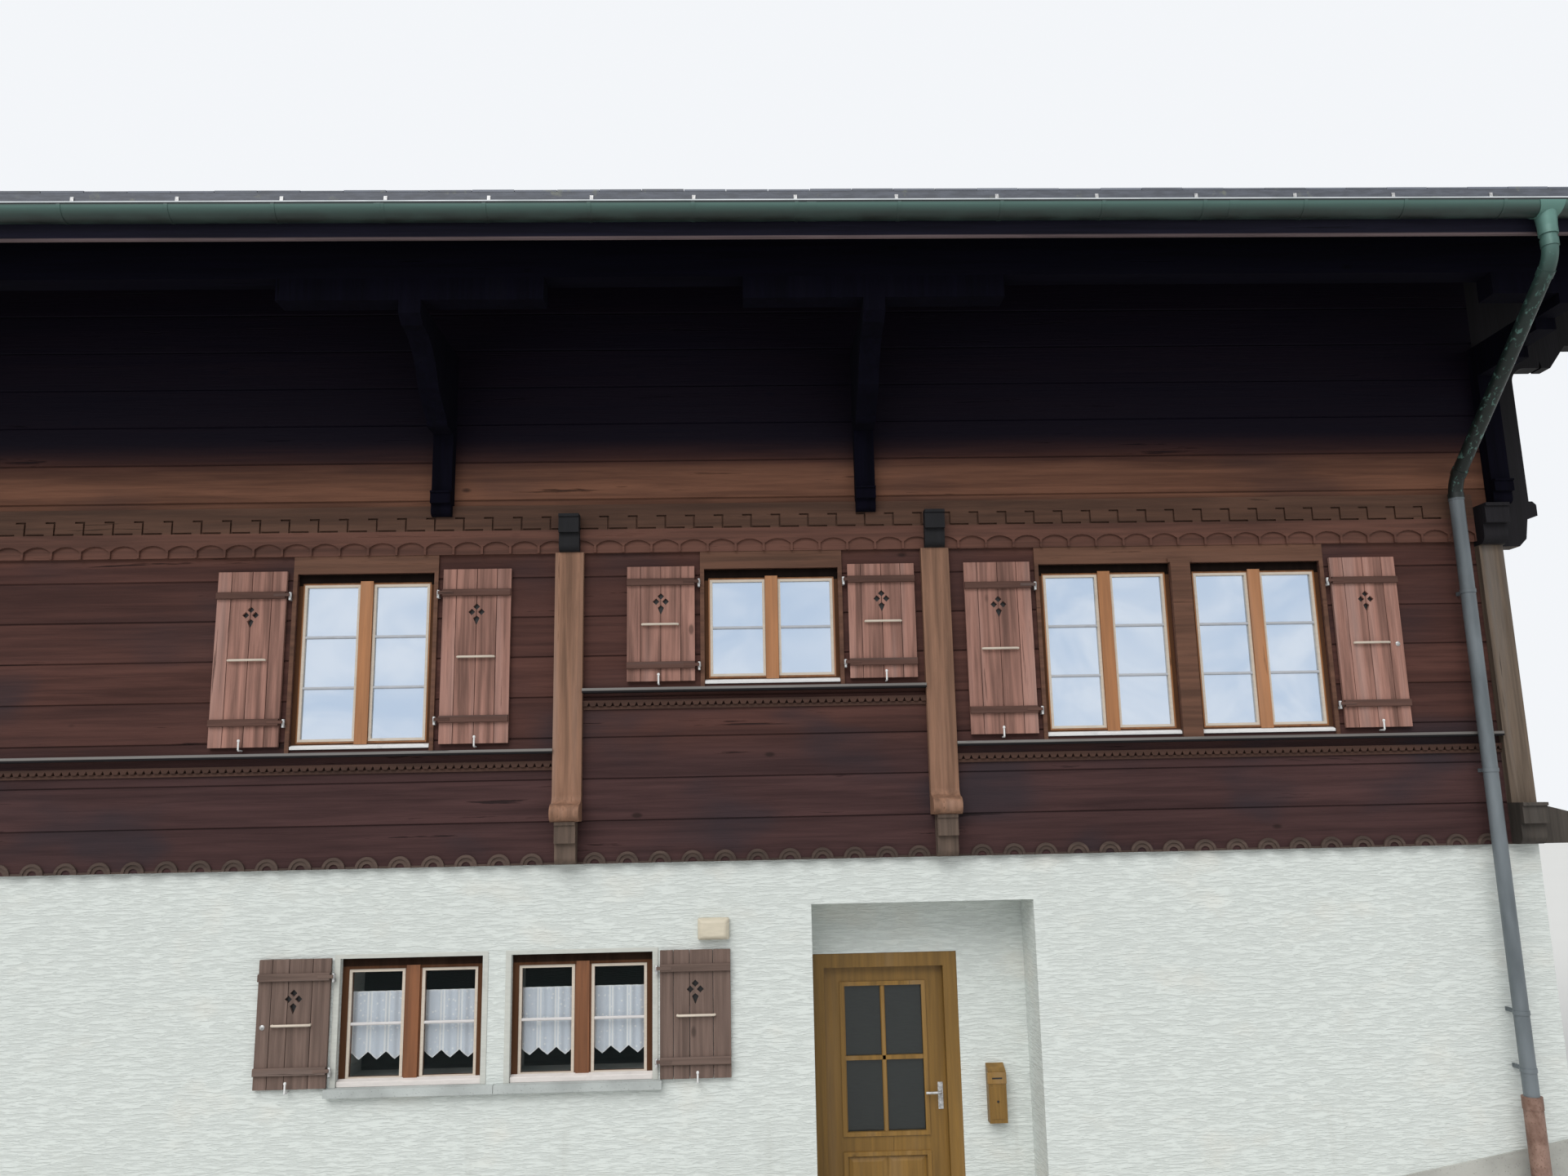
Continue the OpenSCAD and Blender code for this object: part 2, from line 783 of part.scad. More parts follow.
// Stepped log ends that carry the ridge and mid purlins outside a gable
module console_outline(top) {
    step = console_h / 3;
    nose = step / 4;
    polygon(concat([[hw, top - console_h]],
        [for (i = [0 : 2]) let (x = hw + console_out * (i + 1) / 3, z = top - (3 - i) * step)
            each [[x - nose, z], [x, z + nose], [x, z + step]]],
        [[hw, top]]));
}

// Carved log end that looks out of the front between two places along the wall:
// a rounded nose under a deeper block with a thin cap
module console_end(x0, x1, z, h, out) {
    lower = out * 0.7;
    r = min(h * 0.22, lower / 2);
    cap_h = h * 0.08;
    along_x(x0, x1) {
        translate([-hd - lower + r, z + r]) circle(r);
        translate([-hd - lower + r, z]) square([lower - r, h / 2]);
        translate([-hd - lower, z + r]) square([lower, h / 2 - r]);
        translate([-hd - out * 0.92, z + h / 2]) square([out * 0.92, h / 2 - cap_h]);
        translate([-hd - out, z + h - cap_h]) square([out, cap_h]);
    }
}

module gable_consoles() {
    color("sienna") both_sides() {
        along_y(-log_t / 2, log_t / 2) console_outline(roof_under(0) - ridge_h);
        for (s = [-1, 1])
            along_y(s * mid_purlin_y - log_t / 2, s * mid_purlin_y + log_t / 2)
                console_outline(roof_under(mid_purlin_y) - purlin_h);
    }
}

// Board-faced end of a cross wall: a scrolled foot and a console at each end
module cross_wall_post(x) {
    foot_z = base_z + post_console_h;
    roll = post_w * 0.3;
    along_x(x - post_w / 2, x + post_w / 2) {
        translate([-hd - post_proud, foot_z]) square([post_proud, frieze_low_z - foot_z]);
        translate([-hd - post_proud - roll, foot_z + roll]) circle(roll);
        difference() {
            translate([-hd - post_proud - roll, foot_z + roll]) square([roll, roll * 2]);
            translate([-hd - post_proud - roll, foot_z + roll * 3]) circle(roll);
        }
        translate([-hd - post_proud - roll, foot_z]) square([roll, roll]);
    }
    console_end(x - console_w / 2, x + console_w / 2, base_z, post_console_h, post_console_out);
    console_end(x - console_w / 2, x + console_w / 2, frieze_low_z, frieze_console_h,
        post_console_out);
}

module cross_wall_posts() {
    color("sienna") for (x = [post_left_x, post_right_x]) cross_wall_post(x);
}

// Face of the frieze logs, with flat arches along the lower edge
module frieze_face() {
    n = floor(2 * frieze_x / arc_pitch);
    half = (arc_pitch - arc_foot) / 2;
    r = (half * half + arc_rise * arc_rise) / (2 * arc_rise);
    turn = asin(half / r);
    crown = frieze_low_z + arc_h;
    arches = [for (i = [0 : n - 1]) let (x = (i - (n - 1) / 2) * arc_pitch)
        each concat([[x - half, frieze_low_z]],
            [for (a = [-3 : 3]) [x + r * sin(a * turn / 3), crown - r * (1 - cos(a * turn / 3))]],
            [[x + half, frieze_low_z]])];
    polygon(concat([[-frieze_x, frieze_top_z], [-frieze_x, frieze_low_z]], arches,
        [[frieze_x, frieze_low_z], [frieze_x, frieze_top_z]]));
}

// One hooked groove of the key frieze
module key_groove(x) {
    g = key_groove_w;
    z0 = frieze_low_z + key_lift;
    z1 = z0 + key_h;
    hook = 0.28 * key_pitch;
    polygon([[x - hook, z1 - g], [x - hook, z1], [x + g, z1], [x + g, z0 + g],
        [x + 0.7 * key_pitch, z0 + g], [x + 0.7 * key_pitch, z0], [x, z0], [x, z1 - g]]);
}

// Where the post consoles cross the friezes
module console_breaks() {
    for (x = [post_left_x, post_right_x])
        translate([x - console_w / 2, frieze_low_z - 1]) square([console_w, frieze_console_h + 1]);
}

// Where the bracket feet cross the friezes
module bracket_breaks() {
    for (x = [bracket_left_x, bracket_right_x])
        translate([x - bracket_t / 2, bracket_foot_z]) square([bracket_t, frieze_top_z]);
}

module frieze_band() {
    translate([-frieze_x, frieze_low_z]) square([2 * frieze_x, frieze_top_z - frieze_low_z]);
}

// Raised half-round arches on the foot of the sill log, between two radii
module arch_row(x0, x1, r0, r1, foot) {
    n = floor((x1 - x0) / arch_pitch);
    xs = [for (i = [0 : n - 1]) (x0 + x1) / 2 + (i - (n - 1) / 2) * arch_pitch];
    intersection() {
        difference() {
            union() {
                translate([x0, base_z]) square([x1 - x0, foot]);
                for (x = xs) translate([x, base_z]) circle(r1);
            }
            for (x = xs) translate([x, base_z]) circle(r0);
        }
        translate([x0, base_z]) square([x1 - x0, 2 * r1]);
    }
}

// Rope moulding with slanting strands, on a plain fillet under a sill board
module rope_strip(x0, x1, z) {
    n = floor((x1 - x0) / rope_pitch);
    z1 = z - rope_drop;
    strands = [for (i = [0 : n - 1]) let (x = x0 + i * rope_pitch)
        each [[x, z1 - rope_h], [x + rope_pitch * 0.55, z1 - rope_h],
            [x + rope_pitch * 0.8, z1 - rope_h / 3]]];
    along_y(-hd - rope_proud, -hd)
        polygon(concat([[x0, z1]], strands, [[x0 + n * rope_pitch, z1 - rope_h],
            [x1, z1 - rope_h], [x1, z1]]));
    along_y(-hd - rope_proud / 2, -hd)
        translate([x0, z1 - rope_h - rope_fillet]) square([x1 - x0, rope_fillet]);
}

module carved_friezes() {
    keys = floor(2 * frieze_x / key_pitch) - 1;
    inner = -hd - frieze_proud + carving;
    post_xs = [-frieze_x, post_left_x - console_w / 2, post_left_x + console_w / 2,
        post_right_x - console_w / 2, post_right_x + console_w / 2, frieze_x];
    color("sienna") {
        along_y(inner, -hd) difference() {
            frieze_band();
            console_breaks();
            bracket_breaks();
        }
        along_y(-hd - frieze_proud, inner) difference() {
            frieze_face();
            for (i = [0 : keys - 1]) key_groove((i - keys / 2) * key_pitch);
            console_breaks();
            bracket_breaks();
        }
        rotate([0, 0, 180]) along_y(-hd - frieze_proud, -hd) difference() {
            frieze_band();
            bracket_breaks();
        }
        for (i = [0, 2, 4]) {
            along_y(-hd - carving / 2, -hd)
                arch_row(post_xs[i], post_xs[i + 1], arch_r * 0.4, arch_r, arch_r / 6);
            along_y(-hd - carving, -hd - carving / 2)
                arch_row(post_xs[i], post_xs[i + 1], arch_r * 0.75, arch_r, 1);
        }
        for (run = sill_runs) rope_strip(run[0], run[1], run[2]);
    }
}

module sill_boards() {
    color("dimgray") for (run = sill_runs)
        block([run[0], -hd - sill_board_out, run[2]], [run[1], -hd, run[2] + sill_board_h]);
}

// Casing of a front opening: two jambs on the sill board under a head beam
module casing(x, w, z0) {
    side = w / 2 + casing_w;
    along_y(-hd - casing_proud, -hd) difference() {
        polygon([[x - side, z0], [x + side, z0], [x + side, frieze_low_z], [x - side, frieze_low_z]]);
        polygon([[x - w / 2, z0 - 1], [x + w / 2, z0 - 1], [x + w / 2, upper_head_z],
            [x - w / 2, upper_head_z]]);
    }
}

module window_casings() {
    board_top = sill_board_z + sill_board_h;
    color("sienna") {
        casing(left_win_x, upper_win_w, board_top);
        casing(mid_win_x, upper_win_w, short_board_z + sill_board_h);
        casing(pair_x, 2 * win_pair_dx + upper_win_w, board_top);
        block([pair_x - pair_post / 2, -hd - 2 * casing_proud, board_top],
            [pair_x + pair_post / 2, -hd, upper_head_z]);
        block([pair_x - pair_post / 2 - casing_proud, -hd - 2 * casing_proud, upper_head_z],
            [pair_x + pair_post / 2 + casing_proud, -hd, upper_head_z + casing_w]);
    }
}

// Carved bracket under an eave purlin: a foot block, a slender neck, a round
// knob and a hollowed arm that reaches the saddle timber
module bracket(x) {
    top = eave_purlin_z - saddle_h;
    neck_z = bracket_foot_z + bracket_foot_h;
    arm = bracket_arm;
    tip = 100;
    span = arm - knob_out;
    hollow_x = knob_out + span * 0.9;
    hollow_z = knob_z - knob_r;
    hollow_r = (top - tip - hollow_z) * 0.9;
    along_x(x - bracket_t / 2, x + bracket_t / 2) {
        difference() {
            translate([-hd, 0]) polygon([[0, neck_z], [-bracket_neck, neck_z],
                [-bracket_neck, knob_z - knob_r], [-knob_out, knob_z - knob_r],
                [-arm, top - tip], [-arm, top], [0, top]]);
            translate([-hd - hollow_x, hollow_z]) circle(hollow_r);
        }
        translate([-hd - knob_out, knob_z]) circle(knob_r);
    }
    console_end(x - bracket_t / 2, x + bracket_t / 2, bracket_foot_z, bracket_foot_h,
        bracket_foot_out);
    block([x - saddle_len / 2, -hd - arm, top],
        [x + saddle_len / 2, -hd - arm + purlin_w, eave_purlin_z]);
}

// Plain bracket before a corner pier, with an arm in three steps
module corner_bracket(x) {
    top = eave_purlin_z - saddle_h;
    arm = bracket_arm;
    rise = (top - corner_tip - corner_arm_z) / 2;
    len = corner_saddle_share * saddle_len;
    along_x(x - bracket_t / 2, x + bracket_t / 2) translate([-hd, 0])
        polygon([[0, bracket_foot_z + bracket_foot_h], [-bracket_neck, bracket_foot_z + bracket_foot_h],
            [-bracket_neck, corner_arm_z], [-arm * 0.45, corner_arm_z],
            [-arm * 0.45, corner_arm_z + rise], [-arm * 0.75, corner_arm_z + rise],
            [-arm * 0.75, top - corner_tip], [-arm, top - corner_tip], [-arm, top], [0, top]]);
    console_end(x - bracket_t / 2, x + bracket_t / 2, bracket_foot_z, bracket_foot_h,
        bracket_foot_out);
    block([x - len / 2, -hd - arm, top], [x + len / 2, -hd - arm + purlin_w, eave_purlin_z]);
}

module eave_brackets() {
    end_x = hw + corner_bracket_out;
    color("sienna") both_sides() {
        bracket(bracket_left_x);
        bracket(bracket_right_x);
        corner_bracket(end_x);
        corner_bracket(-end_x);
    }
}

module gutter() {
    bead_r = gutter_r / 10;
    color("seagreen") along_x(-roof_x, roof_x) translate([-gutter_y, gutter_z]) {
        difference() {
            circle(gutter_r);
            circle(gutter_r - gutter_t);
            translate([-2 * gutter_r, 0]) square([4 * gutter_r, 2 * gutter_r]);
        }
        translate([-gutter_r + gutter_t / 2, bead_r / 2]) circle(bead_r);
    }
}

module gutters() {
    both_sides() gutter();
}

// A straight pipe between two points of the plane across the front
module pipe_run(a, b, r) {
    v = b - a;
    translate([pipe_x, a[0], a[1]]) rotate([atan2(-v[0], v[1]), 0, 0]) cylinder(h = norm(v), r = r);
}

// A bend of the downpipe about a centre in the plane across the front
module pipe_bend(centre, from, turn) {
    translate([pipe_x, centre[0], centre[1]]) rotate([90, 0, 90]) rotate([0, 0, from])
        rotate_extrude(angle = turn) translate([pipe_bend_r, 0]) circle(pipe_r);
}

// Saddle and funnel that hang under the gutter over the downpipe's top
module funnel() {
    top_w = 190;
    foot_w = 150;
    socket_r = 65;
    socket_h = 60;
    cone_h = 80;
    foot = gutter_z - gutter_r;
    intersection() {
        along_x(pipe_x - top_w / 2, pipe_x + top_w / 2) translate([-gutter_y, gutter_z])
            difference() {
                circle(gutter_r + gutter_t);
                circle(gutter_r + seat_gap);
                translate([gutter_r * 0.8, -2 * gutter_r]) square(4 * gutter_r);
            }
        along_y(-gutter_y - 2 * gutter_r, -gutter_y + 2 * gutter_r)
            polygon([[pipe_x - foot_w / 2, foot - gutter_t], [pipe_x + foot_w / 2, foot - gutter_t],
                [pipe_x + top_w / 2, gutter_z - 2 * gutter_t],
                [pipe_x - top_w / 2, gutter_z - 2 * gutter_t]]);
    }
    difference() {
        translate([pipe_x, -gutter_y, foot - cone_h])
            cylinder(h = cone_h + gutter_r / 2, r1 = socket_r, r2 = foot_w / 2);
        along_x(pipe_x - top_w, pipe_x + top_w) translate([-gutter_y, gutter_z])
            circle(gutter_r + seat_gap);
    }
    translate([pipe_x, -gutter_y, foot - cone_h - socket_h]) cylinder(h = socket_h, r = socket_r);
}

module downpipe() {
    y_out = -gutter_y;
    y_in = -hd - pipe_out;
    foot = gutter_z - gutter_r;
    z_out = foot - pipe_bend_drop;
    lean = atan2(y_in - y_out, z_out - pipe_bend_z);
    reach = pipe_bend_r * tan(lean / 2);
    along = [sin(lean), -cos(lean)];
    down = [0, -1];
    sleeve_out = 5;
    sleeve_half = 28;
    clip_h = 30;
    clip_half = 8;
    clip_zs = [standpipe_z + 170, standpipe_z + 580, base_z + 560, base_z + 1980];
    joints = [[[y_out, z_out] - reach * down, down], [[y_out, z_out] + reach * along, along],
        [[y_in, pipe_bend_z] - reach * along, along], [[y_in, pipe_bend_z] + reach * down, down]];
    color("slategray") union() {
        funnel();
        pipe_run(joints[0][0], [y_out, foot - pipe_bend_drop / 3], pipe_r);
        pipe_bend([y_out + pipe_bend_r, z_out + reach], 180, lean);
        pipe_run(joints[1][0], joints[2][0], pipe_r);
        pipe_bend([y_in - pipe_bend_r, pipe_bend_z - reach], 0, lean);
        pipe_run([y_in, standpipe_z - pipe_seat], joints[3][0], pipe_r);
        for (j = joints)
            pipe_run(j[0] - sleeve_half * j[1], j[0] + sleeve_half * j[1], pipe_r + sleeve_out);
        for (z = clip_zs) {
            translate([pipe_x, y_in, z]) cylinder(h = clip_h, r = pipe_r + sleeve_out);
            block([pipe_x - clip_half, y_in + pipe_r, z],
                [pipe_x + clip_half, z < base_z ? -mason_y : -hd, z + clip_h]);
        }
    }
}

module downpipes() {
    both_sides() downpipe();
}

module standpipe() {
    collar_h = 90;
    collar_out = 4;
    socket_z = standpipe_z - pipe_seat - seat_gap;
    color("sienna") both_sides() translate([pipe_x, -hd - pipe_out, 0]) difference() {
        union() {
            cylinder(h = standpipe_z, r = standpipe_r - collar_out);
            translate([0, 0, standpipe_z - collar_h]) cylinder(h = collar_h, r = standpipe_r);
        }
        translate([0, 0, socket_z]) cylinder(h = standpipe_z, r = pipe_r + seat_gap);
    }
}

function pane_w(w, frame) = (w - 2 * frame[0] - frame[1]) / 2;
function pane_h(h, frame) = h - frame[2] - frame[3];

// A window of two casements: a frame with sashes set back in it and a cover
// strip over the meeting stiles
module window_plate(w, h, frame) {
    pane = pane_w(w, frame);
    high = pane_h(h, frame);
    difference() {
        along_y(0, frame_t) translate([-w / 2, 0]) square([w, h]);
        for (s = [-1, 1]) translate([s * (pane + frame[1]) / 2, 0, 0]) {
            along_y(-1, frame_t + 1) translate([-pane / 2, frame[2]]) square([pane, high]);
            along_y(-1, sash_back) translate([-pane / 2 - sash_w, frame[2] - sash_w])
                square([pane + 2 * sash_w, high + 2 * sash_w]);
        }
    }
    along_y(-cover_t, sash_back + 1) translate([-cover_w / 2, frame[2] - sash_w])
        square([cover_w, high + 2 * sash_w]);
}

module window_panes(w, h, frame) {
    pane = pane_w(w, frame);
    y0 = (frame_t - glass_t) / 2;
    for (s = [-1, 1])
        translate([s * (pane + frame[1]) / 2 - pane / 2, y0, frame[2]])
            cube([pane, glass_t, pane_h(h, frame)]);
}

// The plate or the panes of a window whose foot stands at the origin
module window_part(plates, w, h, frame) {
    if (plates) window_plate(w, h, frame);
    else window_panes(w, h, frame);
}

module place_front_windows(plates) {
    for (w = upper_windows)
        translate([w[0], -hd + upper_recess, w[1]])
            window_part(plates, upper_win_w, upper_head_z - w[1], upper_frame);
    for (x = ground_windows)
        translate([x, -mason_y + ground_recess, ground_sill_z])
            window_part(plates, ground_win_w, ground_head_z - ground_sill_z, ground_frame);
}

module place_rear_windows(plates) {
    upper_high = upper_head_z - upper_sill_z;
    ground_high = ground_head_z - ground_sill_z;
    for (x = back_upper)
        translate([x, hd - upper_recess, upper_sill_z]) rotate([0, 0, 180])
            window_part(plates, upper_win_w, upper_high, upper_frame);
    for (x = back_ground)
        translate([x, mason_y - ground_recess, ground_sill_z]) rotate([0, 0, 180])
            window_part(plates, ground_win_w, ground_high, ground_frame);
    for (turn = [90, -90]) rotate([0, 0, turn]) {
        for (y = gable_upper)
            translate([y, -hw + upper_recess, upper_sill_z])
                window_part(plates, upper_win_w, upper_high, upper_frame);
        for (y = gable_attic)
            translate([y, -hw + upper_recess, attic_sill_z])
                window_part(plates, attic_win_w, attic_head_z - attic_sill_z, upper_frame);
        for (y = gable_ground)
            translate([y, -mason_x + ground_recess, ground_sill_z])
                window_part(plates, ground_win_w, ground_high, ground_frame);
    }
}

module front_windows() {
    color("peru") place_front_windows(true);
}

module rear_windows() {
    color("peru") place_rear_windows(true);
}

module window_glass() {
    color("lightblue") {
        place_front_windows(false);
        place_rear_windows(false);
    }
}

// The stone sill under both ground windows, in two stones with a joint between
module stone_sill_block(joint) {
    x0 = ground_a_x - ground_win_w / 2 - stone_sill_side;
    x1 = ground_b_x + ground_win_w / 2 + stone_sill_side;
    xm = (ground_a_x + ground_b_x) / 2;
    for (e = [[x0, xm - joint], [xm + joint, x1]])
        block([e[0], -mason_y - stone_sill_out, ground_sill_z - stone_sill_h],
            [e[1], -mason_y + ground_recess, ground_sill_z]);
}

module stone_sills() {
    color("gray") stone_sill_block(2);
}

// Heights of a shutter's hinge pins, measured up from its lower edge
function pin_heights(h) = [h * batten_share - eye_h / 2, h * (1 - batten_share) - eye_h / 2];

// A wall hook with its upright pin at the origin, wall towards +Y
module hook_pin() {
    arm = pin_r + 2;
    drop = 20;
    translate([-arm, -arm, -drop]) cube([2 * arm, pin_out + arm, drop]);
    cylinder(h = eye_h - pin_r, r = pin_r);
}

// Cut-out of a shutter: three diamonds over a pointed drop
module shutter_flower() {
    d = flower / 2;
    petal = d * 0.33;
    for (c = [[-d * 0.69, 0], [d * 0.69, 0], [0, d * 0.77]])
        translate(c) polygon([[-petal, 0], [0, -petal], [petal, 0], [0, petal]]);
    polygon([[-d * 0.35, -d * 0.74], [0, -d * 0.47], [d * 0.35, -d * 0.74], [0, -d * 1.8]]);
}

// The leaf hangs from x = 0 towards +X, in the open position, wall at y = pin_out
module shutter_leaf(w, h, edge_gap, flower_share) {
    back = pin_out - shutter_gap;
    face = back - shutter_t;
    difference() {
        union() {
            block([edge_gap, face, 0], [edge_gap + w, back, h]);
            for (z = pin_heights(h)) {
                block([edge_gap, face - batten_t, z + eye_h / 2 - batten_h / 2],
                    [edge_gap + w, face, z + eye_h / 2 + batten_h / 2]);
                block([0, face - batten_t, z + seat_gap],
                    [edge_gap, face - batten_t + 2 * strap_t, z + eye_h]);
                translate([0, 0, z + seat_gap]) cylinder(h = eye_h - seat_gap, r = eye_r);
            }
        }
        for (z = pin_heights(h))
            translate([0, 0, z - 1]) cylinder(h = eye_h + 2, r = pin_r + pin_clear);
        along_y(face - 1, back + 1) translate([edge_gap + w / 2, h * flower_share])
            shutter_flower();
    }
}

// Places a shutter or its pins: side -1 hangs at the left of its opening
module shutter_at(x, face, z, side) {
    translate([x, -face - pin_out, z]) mirror([side < 0 ? 1 : 0, 0, 0]) children();
}

upper_h = upper_shutter_top - upper_sill_z - leaf_lift;
short_h = upper_shutter_top - short_sill_z - leaf_lift;
ground_h = ground_head_z + ground_leaf_over - ground_sill_z - ground_leaf_lift;
ground_off = ground_win_w / 2 + ground_hinge_off;

module left_place(side) {
    shutter_at(left_win_x + side * upper_off, hd, upper_sill_z + leaf_lift, side) children();
}

module mid_place(side) {
    shutter_at(mid_win_x + side * upper_off, hd, short_sill_z + leaf_lift, side) children();
}

module pair_place(side) {
    shutter_at(pair_x + side * pair_off, hd, upper_sill_z + leaf_lift, side) children();
}

module ground_place(side) {
    x = side < 0 ? ground_a_x : ground_b_x;
    shutter_at(x + side * ground_off, mason_y, ground_sill_z + ground_leaf_lift, side) children();
}

module pins_for(h) {
    for (z = pin_heights(h)) translate([0, 0, z]) hook_pin();
}

module shutter_pins() {
    color("dimgray") for (side = [-1, 1]) {
        left_place(side) pins_for(upper_h);
        mid_place(side) pins_for(short_h);
        pair_place(side) pins_for(upper_h);
        ground_place(side) pins_for(ground_h);
    }
}

module tall_leaf() {
    color("brown") shutter_leaf(upper_leaf_w, upper_h, upper_edge_gap, tall_flower_share);
}

module short_leaf() {
    color("brown") shutter_leaf(upper_leaf_w, short_h, upper_edge_gap, low_flower_share);
}

module ground_leaf() {
    color("brown") shutter_leaf(ground_leaf_w, ground_h, ground_edge_gap, low_flower_share);
}

module shutter_left_a() { left_place(-1) tall_leaf(); }
module shutter_left_b() { left_place(1) tall_leaf(); }
module shutter_mid_a() { mid_place(-1) short_leaf(); }
module shutter_mid_b() { mid_place(1) short_leaf(); }
module shutter_pair_a() { pair_place(-1) tall_leaf(); }
module shutter_pair_b() { pair_place(1) tall_leaf(); }
module shutter_ground_a() { ground_place(-1) ground_leaf(); }
module shutter_ground_b() { ground_place(1) ground_leaf(); }

// A shutter of the unseen sides, fixed open on its two hooks
module fixed_shutter(w, h, edge_gap) {
    back = pin_out - shutter_gap;
    face = back - shutter_t;
    hook_w = batten_h * 0.4;
    block([edge_gap, face, 0], [edge_gap + w, back, h]);
    for (z = pin_heights(h)) {
        block([edge_gap, face - batten_t, z + (eye_h - batten_h) / 2],
            [edge_gap + w, face, z + (eye_h + batten_h) / 2]);
        block([edge_gap, back, z], [edge_gap + hook_w, pin_out, z + hook_w]);
    }
}

module fixed_upper_pair(x, face) {
    for (side = [-1, 1])
        shutter_at(x + side * upper_off, face, upper_sill_z + leaf_lift, side)
            fixed_shutter(upper_leaf_w, upper_h, upper_edge_gap);
}

module fixed_ground_pair(x, face) {
    for (side = [-1, 1])
        shutter_at(x + side * ground_off, face, ground_sill_z + ground_leaf_lift, side)
            fixed_shutter(ground_leaf_w, ground_h, ground_edge_gap);
}

module rear_shutters() {
    color("brown") {
        rotate([0, 0, 180]) {
            for (x = back_upper) fixed_upper_pair(-x, hd);
            for (x = back_ground) fixed_ground_pair(-x, mason_y);
        }
        for (turn = [90, -90]) rotate([0, 0, turn]) {
            for (y = gable_upper) fixed_upper_pair(y, hw);
            for (y = gable_ground) fixed_ground_pair(y, mason_x);
        }
    }
}

// Hinge of the door, at the room face beside the leaf
hinge_x = door_x0 - door_gap / 2;
knuckle_r = 9;
hinge_y = -room_y + knuckle_r;
knuckle_h = 60;
hinge_plate_t = 4;
frame_plate_w = 30;
leaf_plate_w = 40;
hinge_zs = [door_z0 + 200, door_z0 + 1000, door_z1 - 260];

module door_frame() {
    x0 = door_x0 - door_gap;
    x1 = door_x1 + door_gap;
    z1 = door_z1 + door_gap;
    stop = 20;
    front_y = -room_y - 140;
    stop_y = -room_y - door_t - door_gap;
    color("chocolate") {
        difference() {
            block([x0 - door_jamb, front_y, slab_t], [x1 + door_jamb, -room_y, z1 + door_jamb]);
            block([x0, stop_y, slab_t - 1], [x1, -room_y + cut, z1]);
            block([x0 + stop, front_y - cut, slab_t - 1], [x1 - stop, -room_y + cut, z1 - stop]);
        }
        for (z = hinge_zs) {
            translate([hinge_x, hinge_y, z]) cylinder(h = knuckle_h, r = knuckle_r);
            block([hinge_x - frame_plate_w, -room_y, z],
                [hinge_x, -room_y + hinge_plate_t, z + knuckle_h]);
        }
    }
}

// The leaf turns inwards on its left edge, about the knuckles at the room face
module door() {
    y1 = -room_y;
    y0 = y1 - door_t;
    pane_z0 = door_z0 + door_pane_z;
    pane_z1 = door_z1 - door_rail;
    panel_z0 = door_z0 + door_rail;
    panel_d = door_t / 4;
    color("chocolate") {
        difference() {
            block([door_x0, y0, door_z0], [door_x1, y1, door_z1]);
            block([door_x0 + door_stile, y0 - cut, pane_z0],
                [door_x1 - door_stile, y1 + cut, pane_z1]);
            block([door_x0 + door_stile, y0 - cut, panel_z0],
                [door_x1 - door_stile, y0 + panel_d, panel_z0 + door_panel_h]);
        }
        block([door_x0 + door_stile, (y0 + y1 - door_pane_t) / 2, pane_z0],
            [door_x1 - door_stile, (y0 + y1 + door_pane_t) / 2, pane_z1]);
        for (z = hinge_zs) {
            z0 = z + knuckle_h + seat_gap;
            translate([hinge_x, hinge_y, z0]) cylinder(h = knuckle_h, r = knuckle_r);
            block([hinge_x, y1, z0],
                [hinge_x + leaf_plate_w, y1 + hinge_plate_t, z0 + knuckle_h]);
        }
    }
}

module letterbox() {
    x1 = letterbox_x + letterbox_w;
    z1 = letterbox_z + letterbox_h;
    color("sienna") along_x(letterbox_x, x1)
        polygon([[-entry_y0, letterbox_z], [-entry_y0 - letterbox_d, letterbox_z],
            [-entry_y0 - letterbox_d, z1 - letterbox_d / 2], [-entry_y0, z1]]);
}

// Lace hung behind each ground window, as thin sheets
module lace_curtains() {
    y0 = -mason_y + ground_recess + frame_t;
    pane = pane_w(ground_win_w, ground_frame);
    high = pane_h(ground_head_z - ground_sill_z, ground_frame);
    z1 = ground_head_z - ground_top_h - high * lace_top_share;
    z0 = z1 - high * lace_share;
    color("white") for (x = ground_windows, s = [-1, 1]) {
        xc = x + s * (pane + ground_meet_w) / 2;
        half = pane / 2 + lace_lap;
        block([xc - half, y0, z0], [xc + half, y0 + lace_t, z1]);
    }
}

ground_floor();
plinth();
front_wall_left();
front_wall_right();
front_wall_lintel();
entry_wall_side();
entry_wall_over();
back_wall();
left_wall();
right_wall();
upper_floor();
attic_floor();
front_logs();
back_logs();
left_gable_logs();
right_gable_logs();
corner_logs();
gable_consoles();
cross_wall_posts();
carved_friezes();
sill_boards();
window_casings();
eave_brackets();
purlins();
rafters();
roof_front();
roof_back();
ridge_cap();
fascia_boards();
gutters();
downpipes();
standpipe();
front_windows();
rear_windows();
window_glass();
stone_sills();
shutter_pins();
rear_shutters();
shutter_left_a();
shutter_left_b();
shutter_mid_a();
shutter_mid_b();
shutter_pair_a();
shutter_pair_b();
shutter_ground_a();
shutter_ground_b();
door_frame();
door();
letterbox();
lace_curtains();
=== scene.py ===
"""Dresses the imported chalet: finishes, slates, eaves, windows, shutters, entrance and stage.

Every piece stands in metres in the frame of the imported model. The long front looks towards -Y.
"""

import json
import math
import random

import bmesh
import bpy
from bpy.props import FloatProperty, FloatVectorProperty, IntProperty, PointerProperty
from mathutils import Matrix, Vector
from mathutils.geometry import delaunay_2d_cdt


